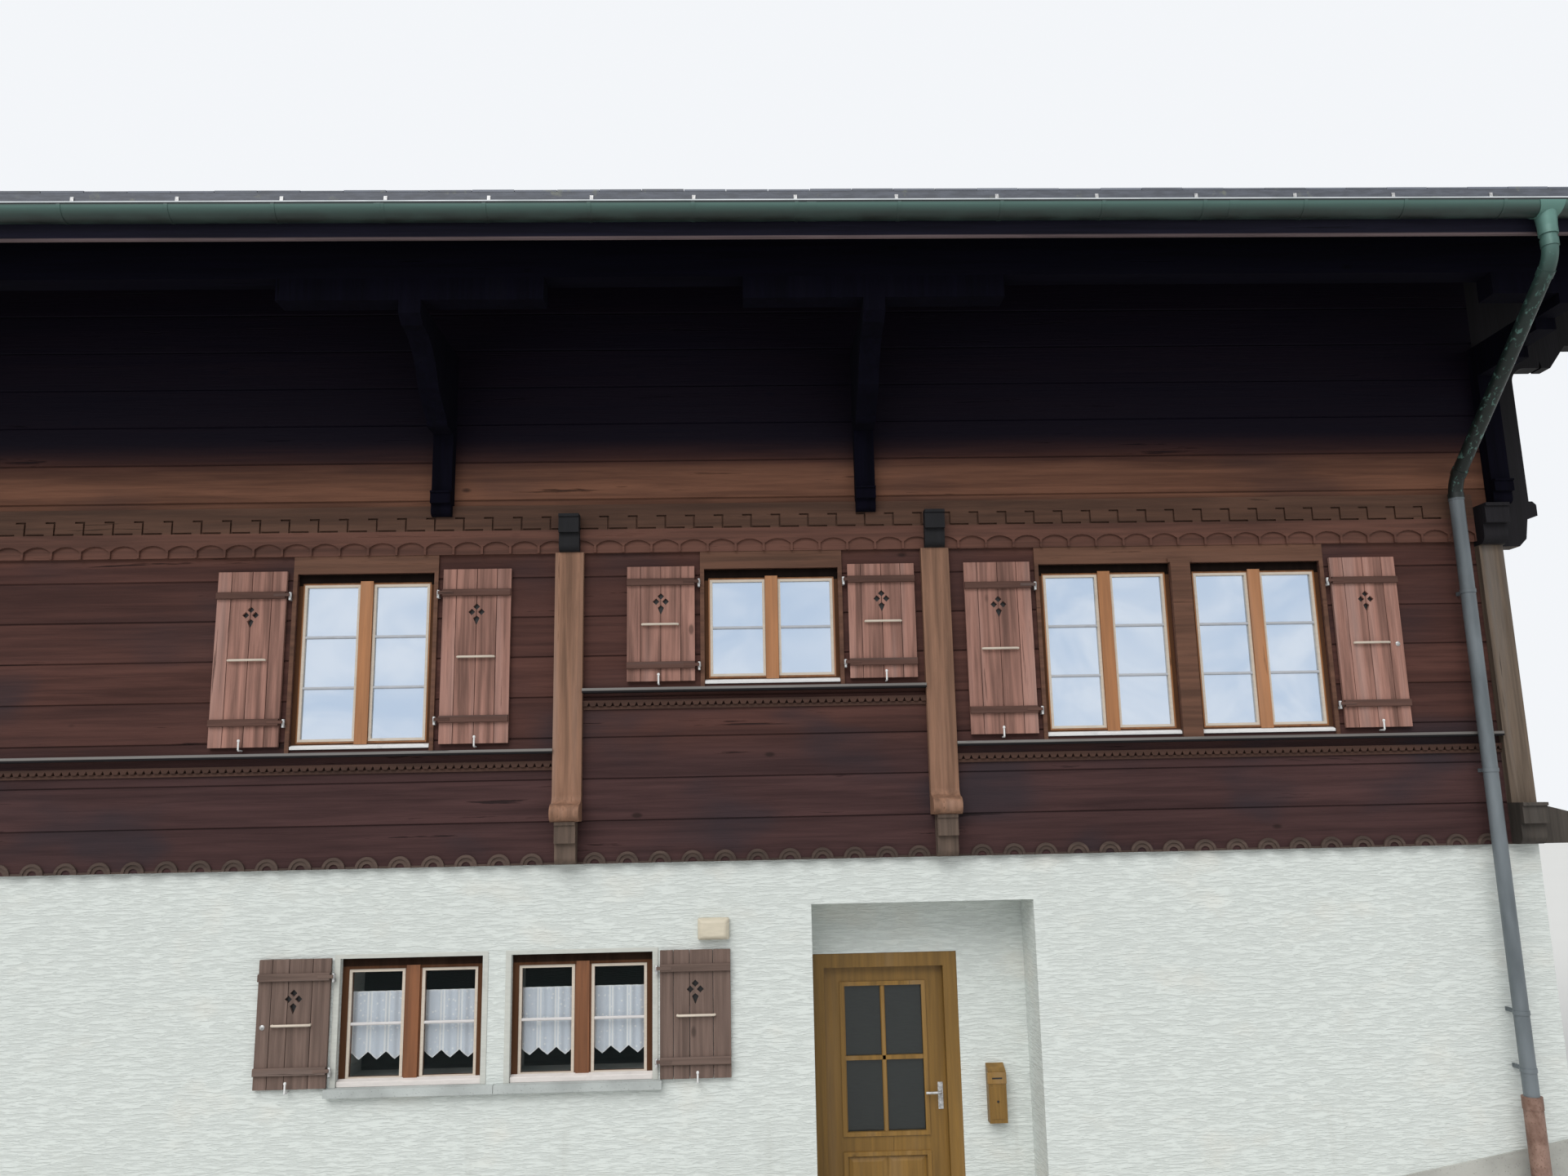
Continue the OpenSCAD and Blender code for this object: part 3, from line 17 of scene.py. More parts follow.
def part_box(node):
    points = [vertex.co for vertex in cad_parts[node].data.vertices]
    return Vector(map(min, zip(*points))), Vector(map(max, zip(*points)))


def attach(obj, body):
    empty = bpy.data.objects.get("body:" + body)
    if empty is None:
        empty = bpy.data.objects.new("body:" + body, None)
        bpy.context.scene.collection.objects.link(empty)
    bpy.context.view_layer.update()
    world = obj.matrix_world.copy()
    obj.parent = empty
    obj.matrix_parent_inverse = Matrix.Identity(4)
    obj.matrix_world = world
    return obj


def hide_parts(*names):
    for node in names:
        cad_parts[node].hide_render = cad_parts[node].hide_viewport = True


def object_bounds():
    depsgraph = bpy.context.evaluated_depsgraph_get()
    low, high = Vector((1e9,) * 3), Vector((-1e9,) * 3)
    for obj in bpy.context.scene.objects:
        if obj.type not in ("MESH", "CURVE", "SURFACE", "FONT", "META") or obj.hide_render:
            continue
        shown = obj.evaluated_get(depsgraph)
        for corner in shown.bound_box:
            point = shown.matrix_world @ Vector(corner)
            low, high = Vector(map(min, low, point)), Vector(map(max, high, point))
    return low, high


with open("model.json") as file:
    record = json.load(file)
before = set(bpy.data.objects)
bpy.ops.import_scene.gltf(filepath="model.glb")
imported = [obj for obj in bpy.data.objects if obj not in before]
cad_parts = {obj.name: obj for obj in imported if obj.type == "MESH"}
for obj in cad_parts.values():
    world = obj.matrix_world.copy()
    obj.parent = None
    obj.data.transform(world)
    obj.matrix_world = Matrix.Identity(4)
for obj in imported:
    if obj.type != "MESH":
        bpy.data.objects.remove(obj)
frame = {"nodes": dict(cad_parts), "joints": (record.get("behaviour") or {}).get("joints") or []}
CAD_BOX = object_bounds()

bl_info = {
    "name": "Alpine chalet dressing",
    "version": (1, 0, 0),
    "blender": (4, 5, 0),
    "location": "3D View > Sidebar > Chalet",
    "description": "Finishes and small parts for a packed alpine chalet",
    "category": "Object",
}

PREFIX = "chalet_"
STOREYS = ("upper", "ground")

# Edges that turn less are shaded round, and edges that turn more are bevelled
SMOOTH_ANGLE = math.radians(38)
BEVEL_ANGLE = math.radians(40)

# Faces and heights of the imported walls, in metres
TIMBER_FACE = 4.75
MASONRY_FACE = 4.72
TIMBER_END = 6.5
TIMBER_FOOT = 3.02
FRIEZE_FOOT = 5.45
SILL_LOG_TOP = 3.34
LOG_HEIGHT = 0.32

# Half lengths and half depths of the rooms, where painted shade darkens their faces
ROOM_X = 5.931
ROOM_Y = 4.121
LOG_ROOM_X = 6.361
LOG_ROOM_Y = 4.611

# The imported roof. Its slates and boards end a little inside the fascia's ends
ROOF_SLOPE = math.tan(math.radians(20))
ROOF_COSINE = math.cos(math.radians(20))
ROOF_END = CAD_BOX[1].x - 0.034
RAFTER_FOOT = 7.52
RAFTER_DEPTH = 0.16
RIDGE_CAP = 0.0203
EAVE_REACH = 6.23
FASCIA_THICK = 0.025
FASCIA_FOOT = 7.41

# Slates: how far they hang over the eave, their thickness at the upper edge, how deep
# they sink into the roof, the narrowest that is laid and the most one hangs below its row
SLATE_OVERHANG = 0.06
SLATE_THICK = 0.004
SLATE_SINK = 0.002
NARROWEST_SLATE = 0.04
SLATE_DROP = 0.012

# Eave boards and the board that closes the wall between the rafters
EAVE_BOARD_GAP = 0.004
EAVE_BOARD_THICK = 0.006
CLOSING_THICK = 0.025
CLOSING_HEIGHT = 0.17

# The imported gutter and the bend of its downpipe, then the places of hooks and sleeves
GUTTER_RADIUS = 0.095
GUTTER_RIM = 7.59
GUTTER_LINE = -(EAVE_REACH + FASCIA_THICK + GUTTER_RADIUS)
PIPE_BEND = 5.91
FIRST_HOOK = -7.27
SLEEVES = (-5.2, -2.2, 0.8, 3.8)

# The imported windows. The borders of their panes are the side, the meeting
# stiles, the foot and the head
FRAME_DEPTH = 0.066
PANE_BORDERS = {"upper": (0.062, 0.14, 0.08, 0.10), "ground": (0.067, 0.165, 0.055, 0.105)}
SASH_BACK = 0.012
SASH_EDGE = 0.030
GLASS_FRONT = 0.029
GROUND_RECESS = 0.06
TALL_WINDOW = 1.2
BAR_DEPTH = 0.018

# Reach of the rail under a window before its frame, and the rail's finish
RAILS = {"upper": (0.035, "white_paint"), "ground": (0.05, "pink_paint")}

# Plaster bands beside and over the ground windows
BAND_WIDTH = 0.042
BAND_HEAD = 0.03
BAND_LAP = 0.001

# The lace's grid, how far its points hang down and the height of its hems
LACE_COLUMNS = 144
LACE_ROWS = 26
LACE_POINT = 0.055
LACE_HEMS = (0.016, 0.012)

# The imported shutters, with depths counted from the line of their pins
LEAF_GAPS = {"upper": 0.033, "ground": 0.024}
LEAF_BACK = 0.035
LEAF_FACE = 0.007
BATTEN_FACE = -0.018
BATTEN_THICK = 0.025
BOARD_THICK = 0.028
BATTEN_SHARE = 0.138
TALL_LEAF = 1.2
TALL_FLOWER_SHARE = 0.749
LOW_FLOWER_SHARE = 0.69

# Fittings of a leaf, as parts of its height and of its width from the hinge side
EYE_RADIUS = 0.012
HANDLE_SHARE = 0.49
HANDLE_PLACES = (0.25, 0.27, 0.75, 0.77)
LOCK_SHARE = 0.91
CATCH_SHARE = 0.53

# Leaves with a lock beside the handle, and the lock's radii and distances from the leaf
LOCKED_LEAVES = ("shutter_ground_a", "shutter_pair_b")
LOCK_PROFILE = (
    (0.019, 0.0), (0.019, 0.003), (0.012, 0.006), (0.006, 0.012), (0.009, 0.018), (0.004, 0.024),
)

# Widths of a shutter's boards, as parts of its width
BOARDS = {"upper": (0.20, 0.30, 0.29, 0.21), "ground": (0.19, 0.23, 0.33, 0.25)}

# Finish of the boards, finish of the battens and slot of a shutter
SHUTTER_LOOKS = {
    "upper": ("shutter_wood", "batten_wood", "shutter"),
    "ground": ("ground_shutter_wood", "ground_batten_wood", "shutter_ground"),
}

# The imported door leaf: its outer face, the border of its fields and their heights
DOOR_FACE = -4.182
DOOR_BORDER = 0.18
PANE_FOOT = 0.73
PANE_HEAD = 0.16
PANEL_FOOT = 0.16
PANEL_HEAD = 0.56

# Scales of the grain and of the fine fibres, by the axis that the wood runs along
GRAIN = {"X": (1.0, 23.0, 23.0), "Y": (23.0, 1.0, 23.0), "Z": (23.0, 23.0, 1.0)}
FIBRE = {"X": (5.0, 130.0, 130.0), "Y": (130.0, 5.0, 130.0), "Z": (130.0, 130.0, 5.0)}


class RoofSizes(bpy.types.PropertyGroup):
    """Sizes of the slates, the eave boards and the gutter's fittings."""

    slate_width: FloatProperty(
        name="Slate width", description="Width of one slate", default=0.30, min=0.1, unit="LENGTH"
    )
    slate_show: FloatProperty(
        name="Slate row", description="Height of one row of slates", default=0.235, min=0.1, unit="LENGTH"
    )
    slate_lift: FloatProperty(
        name="Slate lift", description="Lift of a slate's lower edge", default=0.016, min=0.004, unit="LENGTH"
    )
    slate_gap: FloatProperty(
        name="Slate gap", description="Gap between slates", default=0.005, min=0.001, unit="LENGTH"
    )
    board_width: FloatProperty(
        name="Eave board width", description="Width of a board over the rafters", default=0.14, min=0.08,
        unit="LENGTH",
    )
    hook_pitch: FloatProperty(
        name="Gutter hook pitch", description="Distance between gutter hooks", default=0.724, min=0.3,
        unit="LENGTH",
    )


class ShutterSizes(bpy.types.PropertyGroup):
    """Sizes of the shutters' boards and fittings."""

    board_gap: FloatProperty(
        name="Board gap", description="Gap between two boards", default=0.004, min=0.001, unit="LENGTH"
    )
    chamfer: FloatProperty(
        name="Chamfer", description="Chamfer of the battens", default=0.004, min=0.001, unit="LENGTH"
    )
    flower: FloatProperty(
        name="Cut-out", description="Width of the cut-out", default=0.11, min=0.05, unit="LENGTH"
    )
    batten_height: FloatProperty(
        name="Batten height", description="Height of a batten", default=0.055, min=0.03, unit="LENGTH"
    )
    handle_radius: FloatProperty(
        name="Handle radius", description="Radius of the bar handle", default=0.0095, min=0.003, unit="LENGTH"
    )


class WindowSizes(bpy.types.PropertyGroup):
    """Sizes of the glazing bars, beads, rails and lace."""

    bar_height: FloatProperty(
        name="Bar height", description="Height of a glazing bar", default=0.022, min=0.01, unit="LENGTH"
    )
    bead_upper: FloatProperty(
        name="Upper bead", description="Width of the painted bead, upper storey", default=0.017, min=0.005,
        unit="LENGTH",
    )
    bead_ground: FloatProperty(
        name="Ground bead", description="Width of the painted sash edge, ground storey",
        default=0.019, min=0.01, unit="LENGTH",
    )
    rail_upper: FloatProperty(
        name="Upper rail", description="Height of the white rail under an upper window",
        default=0.038, min=0.02, unit="LENGTH",
    )
    rail_ground: FloatProperty(
        name="Ground rail", description="Height of the white rail under a ground window",
        default=0.052, min=0.02, unit="LENGTH",
    )
    lace_points: IntProperty(
        name="Lace points", description="Points along the lower edge of one lace", default=3, min=1, max=6
    )
    lace_fold: FloatProperty(
        name="Lace fold", description="Depth of the lace's folds", default=0.009, min=0.002, unit="LENGTH"
    )


class Colours(bpy.types.PropertyGroup):
    """Main colours of the house."""

    render: FloatVectorProperty(
        name="Render", description="Masonry render", default=(0.665, 0.705, 0.68),
        subtype="COLOR", min=0, max=1,
    )
    log: FloatVectorProperty(
        name="Logs", description="Log walls", default=(0.086, 0.038, 0.031),
        subtype="COLOR", min=0, max=1,
    )
    post: FloatVectorProperty(
        name="Posts", description="Cross-wall posts", default=(0.300, 0.160, 0.101),
        subtype="COLOR", min=0, max=1,
    )
    # Near-black blue: the roof timbers' colour carries the painted shade of the eaves
    eave_shaded_beam: FloatVectorProperty(
        name="Beams", description="Roof timbers", default=(0.0024, 0.0021, 0.0070),
        subtype="COLOR", min=0, max=1,
    )
    shutter: FloatVectorProperty(
        name="Shutters", description="Upper shutters", default=(0.315, 0.163, 0.128),
        subtype="COLOR", min=0, max=1,
    )
    shutter_ground: FloatVectorProperty(
        name="Ground shutters", description="Ground shutters", default=(0.172, 0.118, 0.098),
        subtype="COLOR", min=0, max=1,
    )
    sash: FloatVectorProperty(
        name="Windows", description="Varnished window wood", default=(0.44, 0.19, 0.075),
        subtype="COLOR", min=0, max=1,
    )
    door: FloatVectorProperty(
        name="Door", description="Door wood", default=(0.238, 0.128, 0.026),
        subtype="COLOR", min=0, max=1,
    )
    gutter: FloatVectorProperty(
        name="Gutter", description="Green gutter", default=(0.055, 0.115, 0.10),
        subtype="COLOR", min=0, max=1,
    )
    slate: FloatVectorProperty(
        name="Slates", description="Roof slates", default=(0.122, 0.134, 0.165),
        subtype="COLOR", min=0, max=1,
    )


class StageSettings(bpy.types.PropertyGroup):
    """Levels of the studio light and tone of the floor."""

    sky: FloatProperty(name="Sky", description="Strength of the even light", default=0.58, min=0)
    lamp: FloatProperty(name="Lamp", description="Strength of the soft lamp", default=2.25, min=0)
    spread: FloatProperty(
        name="Lamp spread", description="Apparent size of the soft lamp", default=math.radians(50), min=0,
        subtype="ANGLE",
    )
    floor: FloatVectorProperty(
        name="Floor", description="Floor", subtype="COLOR", default=(0.66, 0.66, 0.64), min=0, max=1
    )


class Number:
    """A socket that carries a number. Arithmetic on it adds Math nodes."""

    def __init__(self, nodes, socket):
        self.nodes = nodes
        self.socket = socket

    def __add__(self, other):
        return self.nodes.math("ADD", self, other)

    def __radd__(self, other):
        return self.nodes.math("ADD", other, self)

    def __sub__(self, other):
        return self.nodes.math("SUBTRACT", self, other)

    def __rsub__(self, other):
        return self.nodes.math("SUBTRACT", other, self)

    def __mul__(self, other):
        return self.nodes.math("MULTIPLY", self, other)

    def __rmul__(self, other):
        return self.nodes.math("MULTIPLY", other, self)

    def __truediv__(self, other):
        return self.nodes.math("DIVIDE", self, other)

    def __gt__(self, other):
        return self.nodes.math("GREATER_THAN", self, other)

    def __lt__(self, other):
        return self.nodes.math("LESS_THAN", self, other)

    def floor(self):
        return self.nodes.math("FLOOR", self)

    def fraction(self):
        return self.nodes.math("FRACT", self)

    def size(self):
        return self.nodes.math("ABSOLUTE", self)


class Nodes:
    """The node tree of a material or of the world."""

    def __init__(self, owner):
        owner.use_nodes = True
        self.tree = owner.node_tree
        self.tree.nodes.clear()

    def node(self, kind, settings=None, sockets=None):
        """Adds a node. Its settings are set first, then its sockets get values or links."""
        made = self.tree.nodes.new(kind)
        for key, value in (settings or {}).items():
            if key == "stops":
                self.set_stops(made.color_ramp, value)
            else:
                setattr(made, key, value)
        for key, value in (sockets or {}).items():
            self.feed(made.inputs[key], value)
        return made

    def set_stops(self, ramp, stops):
        """Gives a ramp its stops, pairs of a position and a colour."""
        while len(ramp.elements) < len(stops):
            ramp.elements.new(1.0)
        for element, (position, colour) in zip(ramp.elements, stops):
            element.position = position
            element.color = (*colour, 1.0)

    def feed(self, socket, value):
        """Links a socket to a number or another socket, or sets its value."""
        if isinstance(value, Number):
            value = value.socket
        if isinstance(value, bpy.types.NodeSocket):
            self.tree.links.new(value, socket)
        elif socket.type == "RGBA":
            socket.default_value = (*value, 1.0)
        else:
            socket.default_value = value

    def math(self, operation, *values):
        made = self.node("ShaderNodeMath", {"operation": operation}, dict(enumerate(values)))
        return Number(self, made.outputs[0])

    def vector(self, operation, *values):
        made = self.node("ShaderNodeVectorMath", {"operation": operation}, dict(enumerate(values)))
        return made.outputs[0]


class Finish(Nodes):
    """The nodes of one material round a Principled shader."""

    def __init__(self, name, roughness=0.6, gloss=0.5, metallic=0.0):
        super().__init__(bpy.data.materials.new(PREFIX + name))
        self.shader = self.node(
            "ShaderNodeBsdfPrincipled",
            None,
            {"Roughness": roughness, "Specular IOR Level": gloss, "Metallic": metallic},
        )
        self.node("ShaderNodeOutputMaterial", None, {"Surface": self.shader.outputs["BSDF"]})
        self.place = self.node("ShaderNodeTexCoord").outputs["Object"]

    def axes(self):
        """X, Y and Z of the place on the house."""
        split = self.node("ShaderNodeSeparateXYZ", None, {0: self.place})
        return [Number(self, out) for out in split.outputs]

    def moved(self, x, y, z):
        """The place moved by a number along each axis."""
        offset = self.node("ShaderNodeCombineXYZ", None, {0: x, 1: y, 2: z}).outputs[0]
        return self.vector("ADD", self.place, offset)

    def scaled(self, scale, place):
        """The place, or another one, times a scale along each axis."""
        return self.vector("MULTIPLY", self.place if place is None else place, scale)

    def mix(self, factor, first, second, blend="MIX"):
        """A colour between two colours."""
        made = self.node(
            "ShaderNodeMix",
            {"data_type": "RGBA", "blend_type": blend},
            {0: factor, 6: first, 7: second},
        )
        return made.outputs[2]

    def noise(self, scale, detail=3.0, roughness=0.5, distortion=0.0, place=None):
        """Noise whose scale is given along each axis."""
        made = self.node(
            "ShaderNodeTexNoise",
            None,
            {
                "Vector": self.scaled(scale, place), "Scale": 1.0, "Detail": detail,
                "Roughness": roughness, "Distortion": distortion,
            },
        )
        return Number(self, made.outputs[0])

    def cells(self, scale, place=None):
        """Distance to the nearest of many scattered points."""
        made = self.node("ShaderNodeTexVoronoi", None, {"Vector": self.scaled(scale, place), "Scale": 1.0})
        return Number(self, made.outputs["Distance"])

    def hashed(self, number):
        """A steady random number from 0 to 1 for each whole number."""
        made = self.node("ShaderNodeTexWhiteNoise", {"noise_dimensions": "1D"}, {"W": number})
        return Number(self, made.outputs["Value"])

    def step(self, value, low, high):
        """A smooth step from 0 to 1 of a number between two limits."""
        made = self.node(
            "ShaderNodeMapRange",
            {"interpolation_type": "SMOOTHSTEP"},
            {"Value": value, "From Min": low, "From Max": high},
        )
        return Number(self, made.outputs["Result"])

    def ramp(self, value, stops):
        return self.node("ShaderNodeValToRGB", {"stops": stops}, {"Fac": value}).outputs["Color"]

    def tone(self):
        """The tone that each board or slate carries."""
        return Number(self, self.node("ShaderNodeAttribute", {"attribute_name": "tone"}).outputs["Fac"])

    def show(self, name, value):
        """Gives an input of the shader its value, such as its Base Color or Roughness."""
        self.feed(self.shader.inputs[name], value)

    def relief(self, height, depth):
        """Raises the surface by a height from 0 to 1 of that depth in metres."""
        bump = self.node("ShaderNodeBump", None, {"Height": height, "Distance": depth, "Strength": 1.0})
        self.show("Normal", bump.outputs["Normal"])


def finish_named(name):
    """A finish by its name, kept apart from the frame's own materials."""
    return bpy.data.materials[PREFIX + name]


def tinted(colour, factor):
    """A colour made lighter or darker."""
    return tuple(min(1.0, part * factor) for part in colour)


def grain_of(paint, axis, place):
    """Broad streaks, fine grain, cracks and knots of wood that runs along an axis."""
    broad = paint.noise(tuple(k * 0.32 for k in GRAIN[axis]), 2.0, place=place)
    grain = paint.noise(GRAIN[axis], 5.0, 0.62, 0.35, place)
    fibre = paint.noise(FIBRE[axis], 2.0, 0.6, place=place)
    split = paint.step(grain, 0.62, 0.70) * paint.step(broad, 0.48, 0.60)
    squeeze = tuple(1.5 if k == 1.0 else 3.1 for k in GRAIN[axis])
    knot = 1 - paint.step(paint.cells(squeeze, place), 0.035, 0.085)
    return broad, grain, fibre, split, knot


def wood(name, colour, axis, roughness=0.7, contrast=0.5, depth=0.004, shift=0.0, bands=()):
    """Timber whose grain runs along an axis of the house.

    The shift makes it greyer. A band is a low height, a high height, a colour and its strength. Some bands
    give the wood's own colour, and some paint shade or light on it.
    """
    paint = Finish(name, roughness, 0.4 if roughness < 0.5 else 1.0 - roughness)
    tone = paint.tone()
    place = paint.moved(tone * 9.0, tone * 7.0, tone * 5.0)
    broad, grain, fibre, split, knot = grain_of(paint, axis, place)
    worn = paint.step(grain * 0.6 + broad * 0.4, 0.3, 0.72)
    dark = tinted(colour, 1.0 - contrast)
    pale = tinted(colour, 1.0 + contrast)
    grey = (sum(pale) / 3,) * 3
    shade = paint.mix(worn, dark, pale)
    shade = paint.mix(paint.step(broad, 0.5, 0.8) * (0.25 + shift), shade, grey)
    shade = paint.mix((tone - 0.5).size() * 0.7, shade, tinted(dark, 0.9))
    shade = paint.mix(split * 0.75, shade, tinted(dark, 0.35))
    shade = paint.mix(knot * 0.7, shade, tinted(dark, 0.5))
    height = paint.axes()[2]
    for low, high, other, strength in bands:
        above = paint.step(height, low - 0.003, low + 0.003)
        below = 1 - paint.step(height, high - 0.003, high + 0.003)
        band_colour_and_shade = paint.mix(worn, tinted(other, 0.6), tinted(other, 1.4))
        shade = paint.mix(above * below * strength, shade, band_colour_and_shade)
    paint.show("Base Color", shade)
    paint.show("Roughness", 0.1 * fibre + (roughness - 0.05))
    paint.relief(grain * 0.5 + fibre * 0.3 - split * 0.9, depth)


def log_wall(name, colour, axis):
    """Squared logs: each course has its own tone. Painted shade makes the wood near black under the eaves and
    on the faces inside the rooms.
    """
    paint = Finish(name, 0.72, 0.12)
    across, deep, height = paint.axes()
    courses = (height - TIMBER_FOOT) / LOG_HEIGHT
    chance = paint.hashed(courses.floor())
    place = paint.moved(chance * 11.0, chance * 11.0, 0.0)
    broad, grain, fibre, split, knot = grain_of(paint, axis, place)
    red, green, blue = colour
    purple = (red * 0.70, green * 0.80, blue * 0.98)
    bright = (red * 2.2, green * 2.3, blue * 1.75)
    brown = (red * 1.25, green * 1.15, blue * 0.95)
    gap = (0.006, 0.004, 0.005)
    span = 5.0
    zones = paint.ramp(
        (height - TIMBER_FOOT) / span,
        [
            (0.0, purple), (0.15, purple), (0.20, colour), (0.47, colour),
            (0.56, bright), (0.625, bright), (0.645, brown),
        ],
    )
    worn = paint.step(grain * 0.55 + broad * 0.45, 0.28, 0.75)
    shade = paint.mix(1.0, zones, paint.mix(worn, (0.55, 0.53, 0.54), (1.42, 1.39, 1.35)), "MULTIPLY")
    shade = paint.mix(chance * 0.35, shade, tinted(purple, 0.55))
    stain = paint.step(paint.noise((0.9, 0.9, 1.6), 2.0), 0.50, 0.72)
    low = 1 - paint.step(height, 4.2, 4.7)
    shade = paint.mix(stain * (0.30 + 0.42 * low), shade, (0.026, 0.022, 0.028))
    shade = paint.mix(split * 0.8, shade, gap)
    shade = paint.mix(knot * 0.7, shade, (0.012, 0.007, 0.006))
    joint = (courses.fraction() - 0.5).size()
    shade = paint.mix(paint.step(joint, 0.468, 0.494) * 0.35, shade, gap)
    # Painted shade under the eaves: logs close under the roof turn near black
    under = (EAVE_REACH - deep.size()) * ROOF_SLOPE + RAFTER_FOOT - height
    eave_shade = 1 - paint.step(under, 1.63, 2.05)
    shade = paint.mix(eave_shade * 0.97, shade, (0.0010, 0.0006, 0.0060))
    # Painted shade: the logs' faces inside the rooms are near black
    inside = (deep.size() < LOG_ROOM_Y) * (across.size() < LOG_ROOM_X)
    paint.show("Base Color", paint.mix(inside, shade, (0.010, 0.007, 0.006)))
    paint.show("Roughness", 0.12 * fibre + 0.64)
    paint.relief(grain * 0.55 + fibre * 0.25 - split * 0.9, 0.006)


def masonry(name, colour):
    """White render thrown and drawn in mostly level strokes. Painted shade makes its faces inside the rooms
    near black.
    """
    paint = Finish(name, 0.9)
    across, deep, height = paint.axes()
    strokes = paint.noise((9.0, 9.0, 64.0), 3.0, 0.6, 0.5)
    crumbs = paint.noise((38.0, 38.0, 60.0), 3.0, 0.6)
    clouds = paint.noise((0.8, 0.8, 1.2))
    warm = paint.noise((1.7, 1.7, 2.6))
    streaks = paint.noise((9.0, 9.0, 0.5), 2.0)
    ridge = paint.step(strokes, 0.36, 0.62)
    shade = paint.mix(ridge, tinted(colour, 0.90), tinted(colour, 1.03))
    shade = paint.mix(paint.step(clouds, 0.45, 0.75) * 0.3, shade, tinted(colour, 0.92))
    shade = paint.mix(paint.step(warm, 0.54, 0.75) * 0.3, shade, (0.74, 0.70, 0.62))
    damp = (1 - paint.step(height, 0.0, 0.9)) * paint.step(clouds, 0.3, 0.7)
    shade = paint.mix(damp * 0.45, shade, (0.40, 0.39, 0.33))
    low = (1 - paint.step(height, 0.9, 1.42)) * paint.step(height, 0.35, 0.9)
    shade = paint.mix(low * paint.step(streaks, 0.55, 0.8) * 0.25, shade, (0.45, 0.46, 0.42))
    # Painted shade: the render's faces inside the rooms are near black
    inside = (deep.size() < ROOM_Y) * (across.size() < ROOM_X)
    paint.show("Base Color", paint.mix(inside, shade, (0.05, 0.048, 0.045)))
    paint.show("Roughness", 0.95 - 0.1 * crumbs)
    paint.relief(ridge * 0.6 + crumbs * 0.4, 0.0045)


def concrete(name, colour):
    """Grey cast concrete with pores and damp patches."""
    paint = Finish(name, 0.9)
    clouds = paint.noise((2.2, 2.2, 3.0), 4.0)
    crumbs = paint.noise((60.0, 60.0, 60.0))
    pores = paint.step(paint.cells((45.0, 45.0, 45.0)), 0.08, 0.2)
    shade = paint.mix(paint.step(clouds, 0.3, 0.7), tinted(colour, 0.75), tinted(colour, 1.12))
    paint.show("Base Color", paint.mix((1 - pores) * 0.5, shade, tinted(colour, 0.4)))
    paint.relief(crumbs * 0.5 + pores * 0.4, 0.004)


def slate(name, colour):
    """Roof slates, each of its own tone, with lichen and worn edges."""
    paint = Finish(name, 0.62)
    layers = paint.noise((7.0, 7.0, 30.0), 4.0, 0.6)
    lichen = paint.noise((9.0, 9.0, 9.0), 5.0, 0.65)
    shade = paint.mix(paint.tone(), tinted(colour, 0.6), tinted(colour, 1.35))
    shade = paint.mix(paint.step(layers, 0.35, 0.7) * 0.4, shade, tinted(colour, 1.5))
    shade = paint.mix(paint.step(lichen, 0.60, 0.72) * 0.45, shade, (0.22, 0.23, 0.17))
    paint.show("Base Color", shade)
    paint.show("Roughness", 0.5 + 0.25 * layers)
    paint.relief(layers * 0.7 + lichen * 0.2, 0.003)


def painted_copper(name, colour):
    """Green gutter metal with painted light and shade: painted shade darkens it below, its upper half is
    paler, a painted shadow runs under the rim and a painted highlight lies along the bead.
    """
    paint = Finish(name, 0.42)
    height = paint.axes()[2]
    clouds = paint.noise((3.0, 6.0, 12.0))
    shadow = (0.02, 0.022, 0.028)
    # Painted light and shade by height: dark underside, paler upper half, shadow under the rim, highlight on
    # the bead
    bands = paint.ramp(
        (height - (GUTTER_RIM - GUTTER_RADIUS)) / (2 * GUTTER_RADIUS),
        [
            (0.0, tinted(colour, 0.10)), (0.12, tinted(colour, 0.28)), (0.26, tinted(colour, 0.75)),
            (0.40, tinted(colour, 1.25)), (0.44, tinted(colour, 0.9)), (0.475, shadow),
            (0.50, shadow), (0.515, (0.62, 0.65, 0.68)),
        ],
    )
    paint.show("Base Color", paint.mix(paint.step(clouds, 0.35, 0.68) * 0.3, bands, tinted(colour, 0.8)))
    paint.show("Roughness", 0.35 + 0.25 * clouds)


def pipe_metal(name, colour):
    """Downpipe metal: blue grey on the wall, mottled green up in the eaves, where painted shade darkens the
    green towards the bend.
    """
    paint = Finish(name, 0.4, metallic=0.2)
    height = paint.axes()[2]
    clouds = paint.noise((5.0, 5.0, 1.6))
    flecks = paint.noise((34.0, 16.0, 22.0), 4.0, 0.65, 0.4)
    zinc = paint.mix(paint.step(clouds, 0.3, 0.7), (0.095, 0.112, 0.123), (0.165, 0.190, 0.208))
    # Painted shade: the green turns near black down towards the bend under the eaves
    shaded_green = paint.ramp(
        (height - PIPE_BEND) / (GUTTER_RIM - PIPE_BEND),
        [
            (0.0, tinted(colour, 0.07)), (0.45, tinted(colour, 0.12)), (0.66, tinted(colour, 0.25)),
            (0.80, tinted(colour, 1.1)), (0.93, tinted(colour, 2.0)),
        ],
    )
    pale = paint.step(flecks, 0.56, 0.66) * (0.75 - 0.5 * paint.step(height, 6.9, 7.2))
    green = paint.mix(pale, shaded_green, tinted(colour, 1.9))
    paint.show("Base Color", paint.mix(paint.step(height, PIPE_BEND - 0.14, PIPE_BEND - 0.12), zinc, green))
    paint.show("Roughness", 0.32 + 0.25 * clouds)
    paint.relief(flecks, 0.0008)


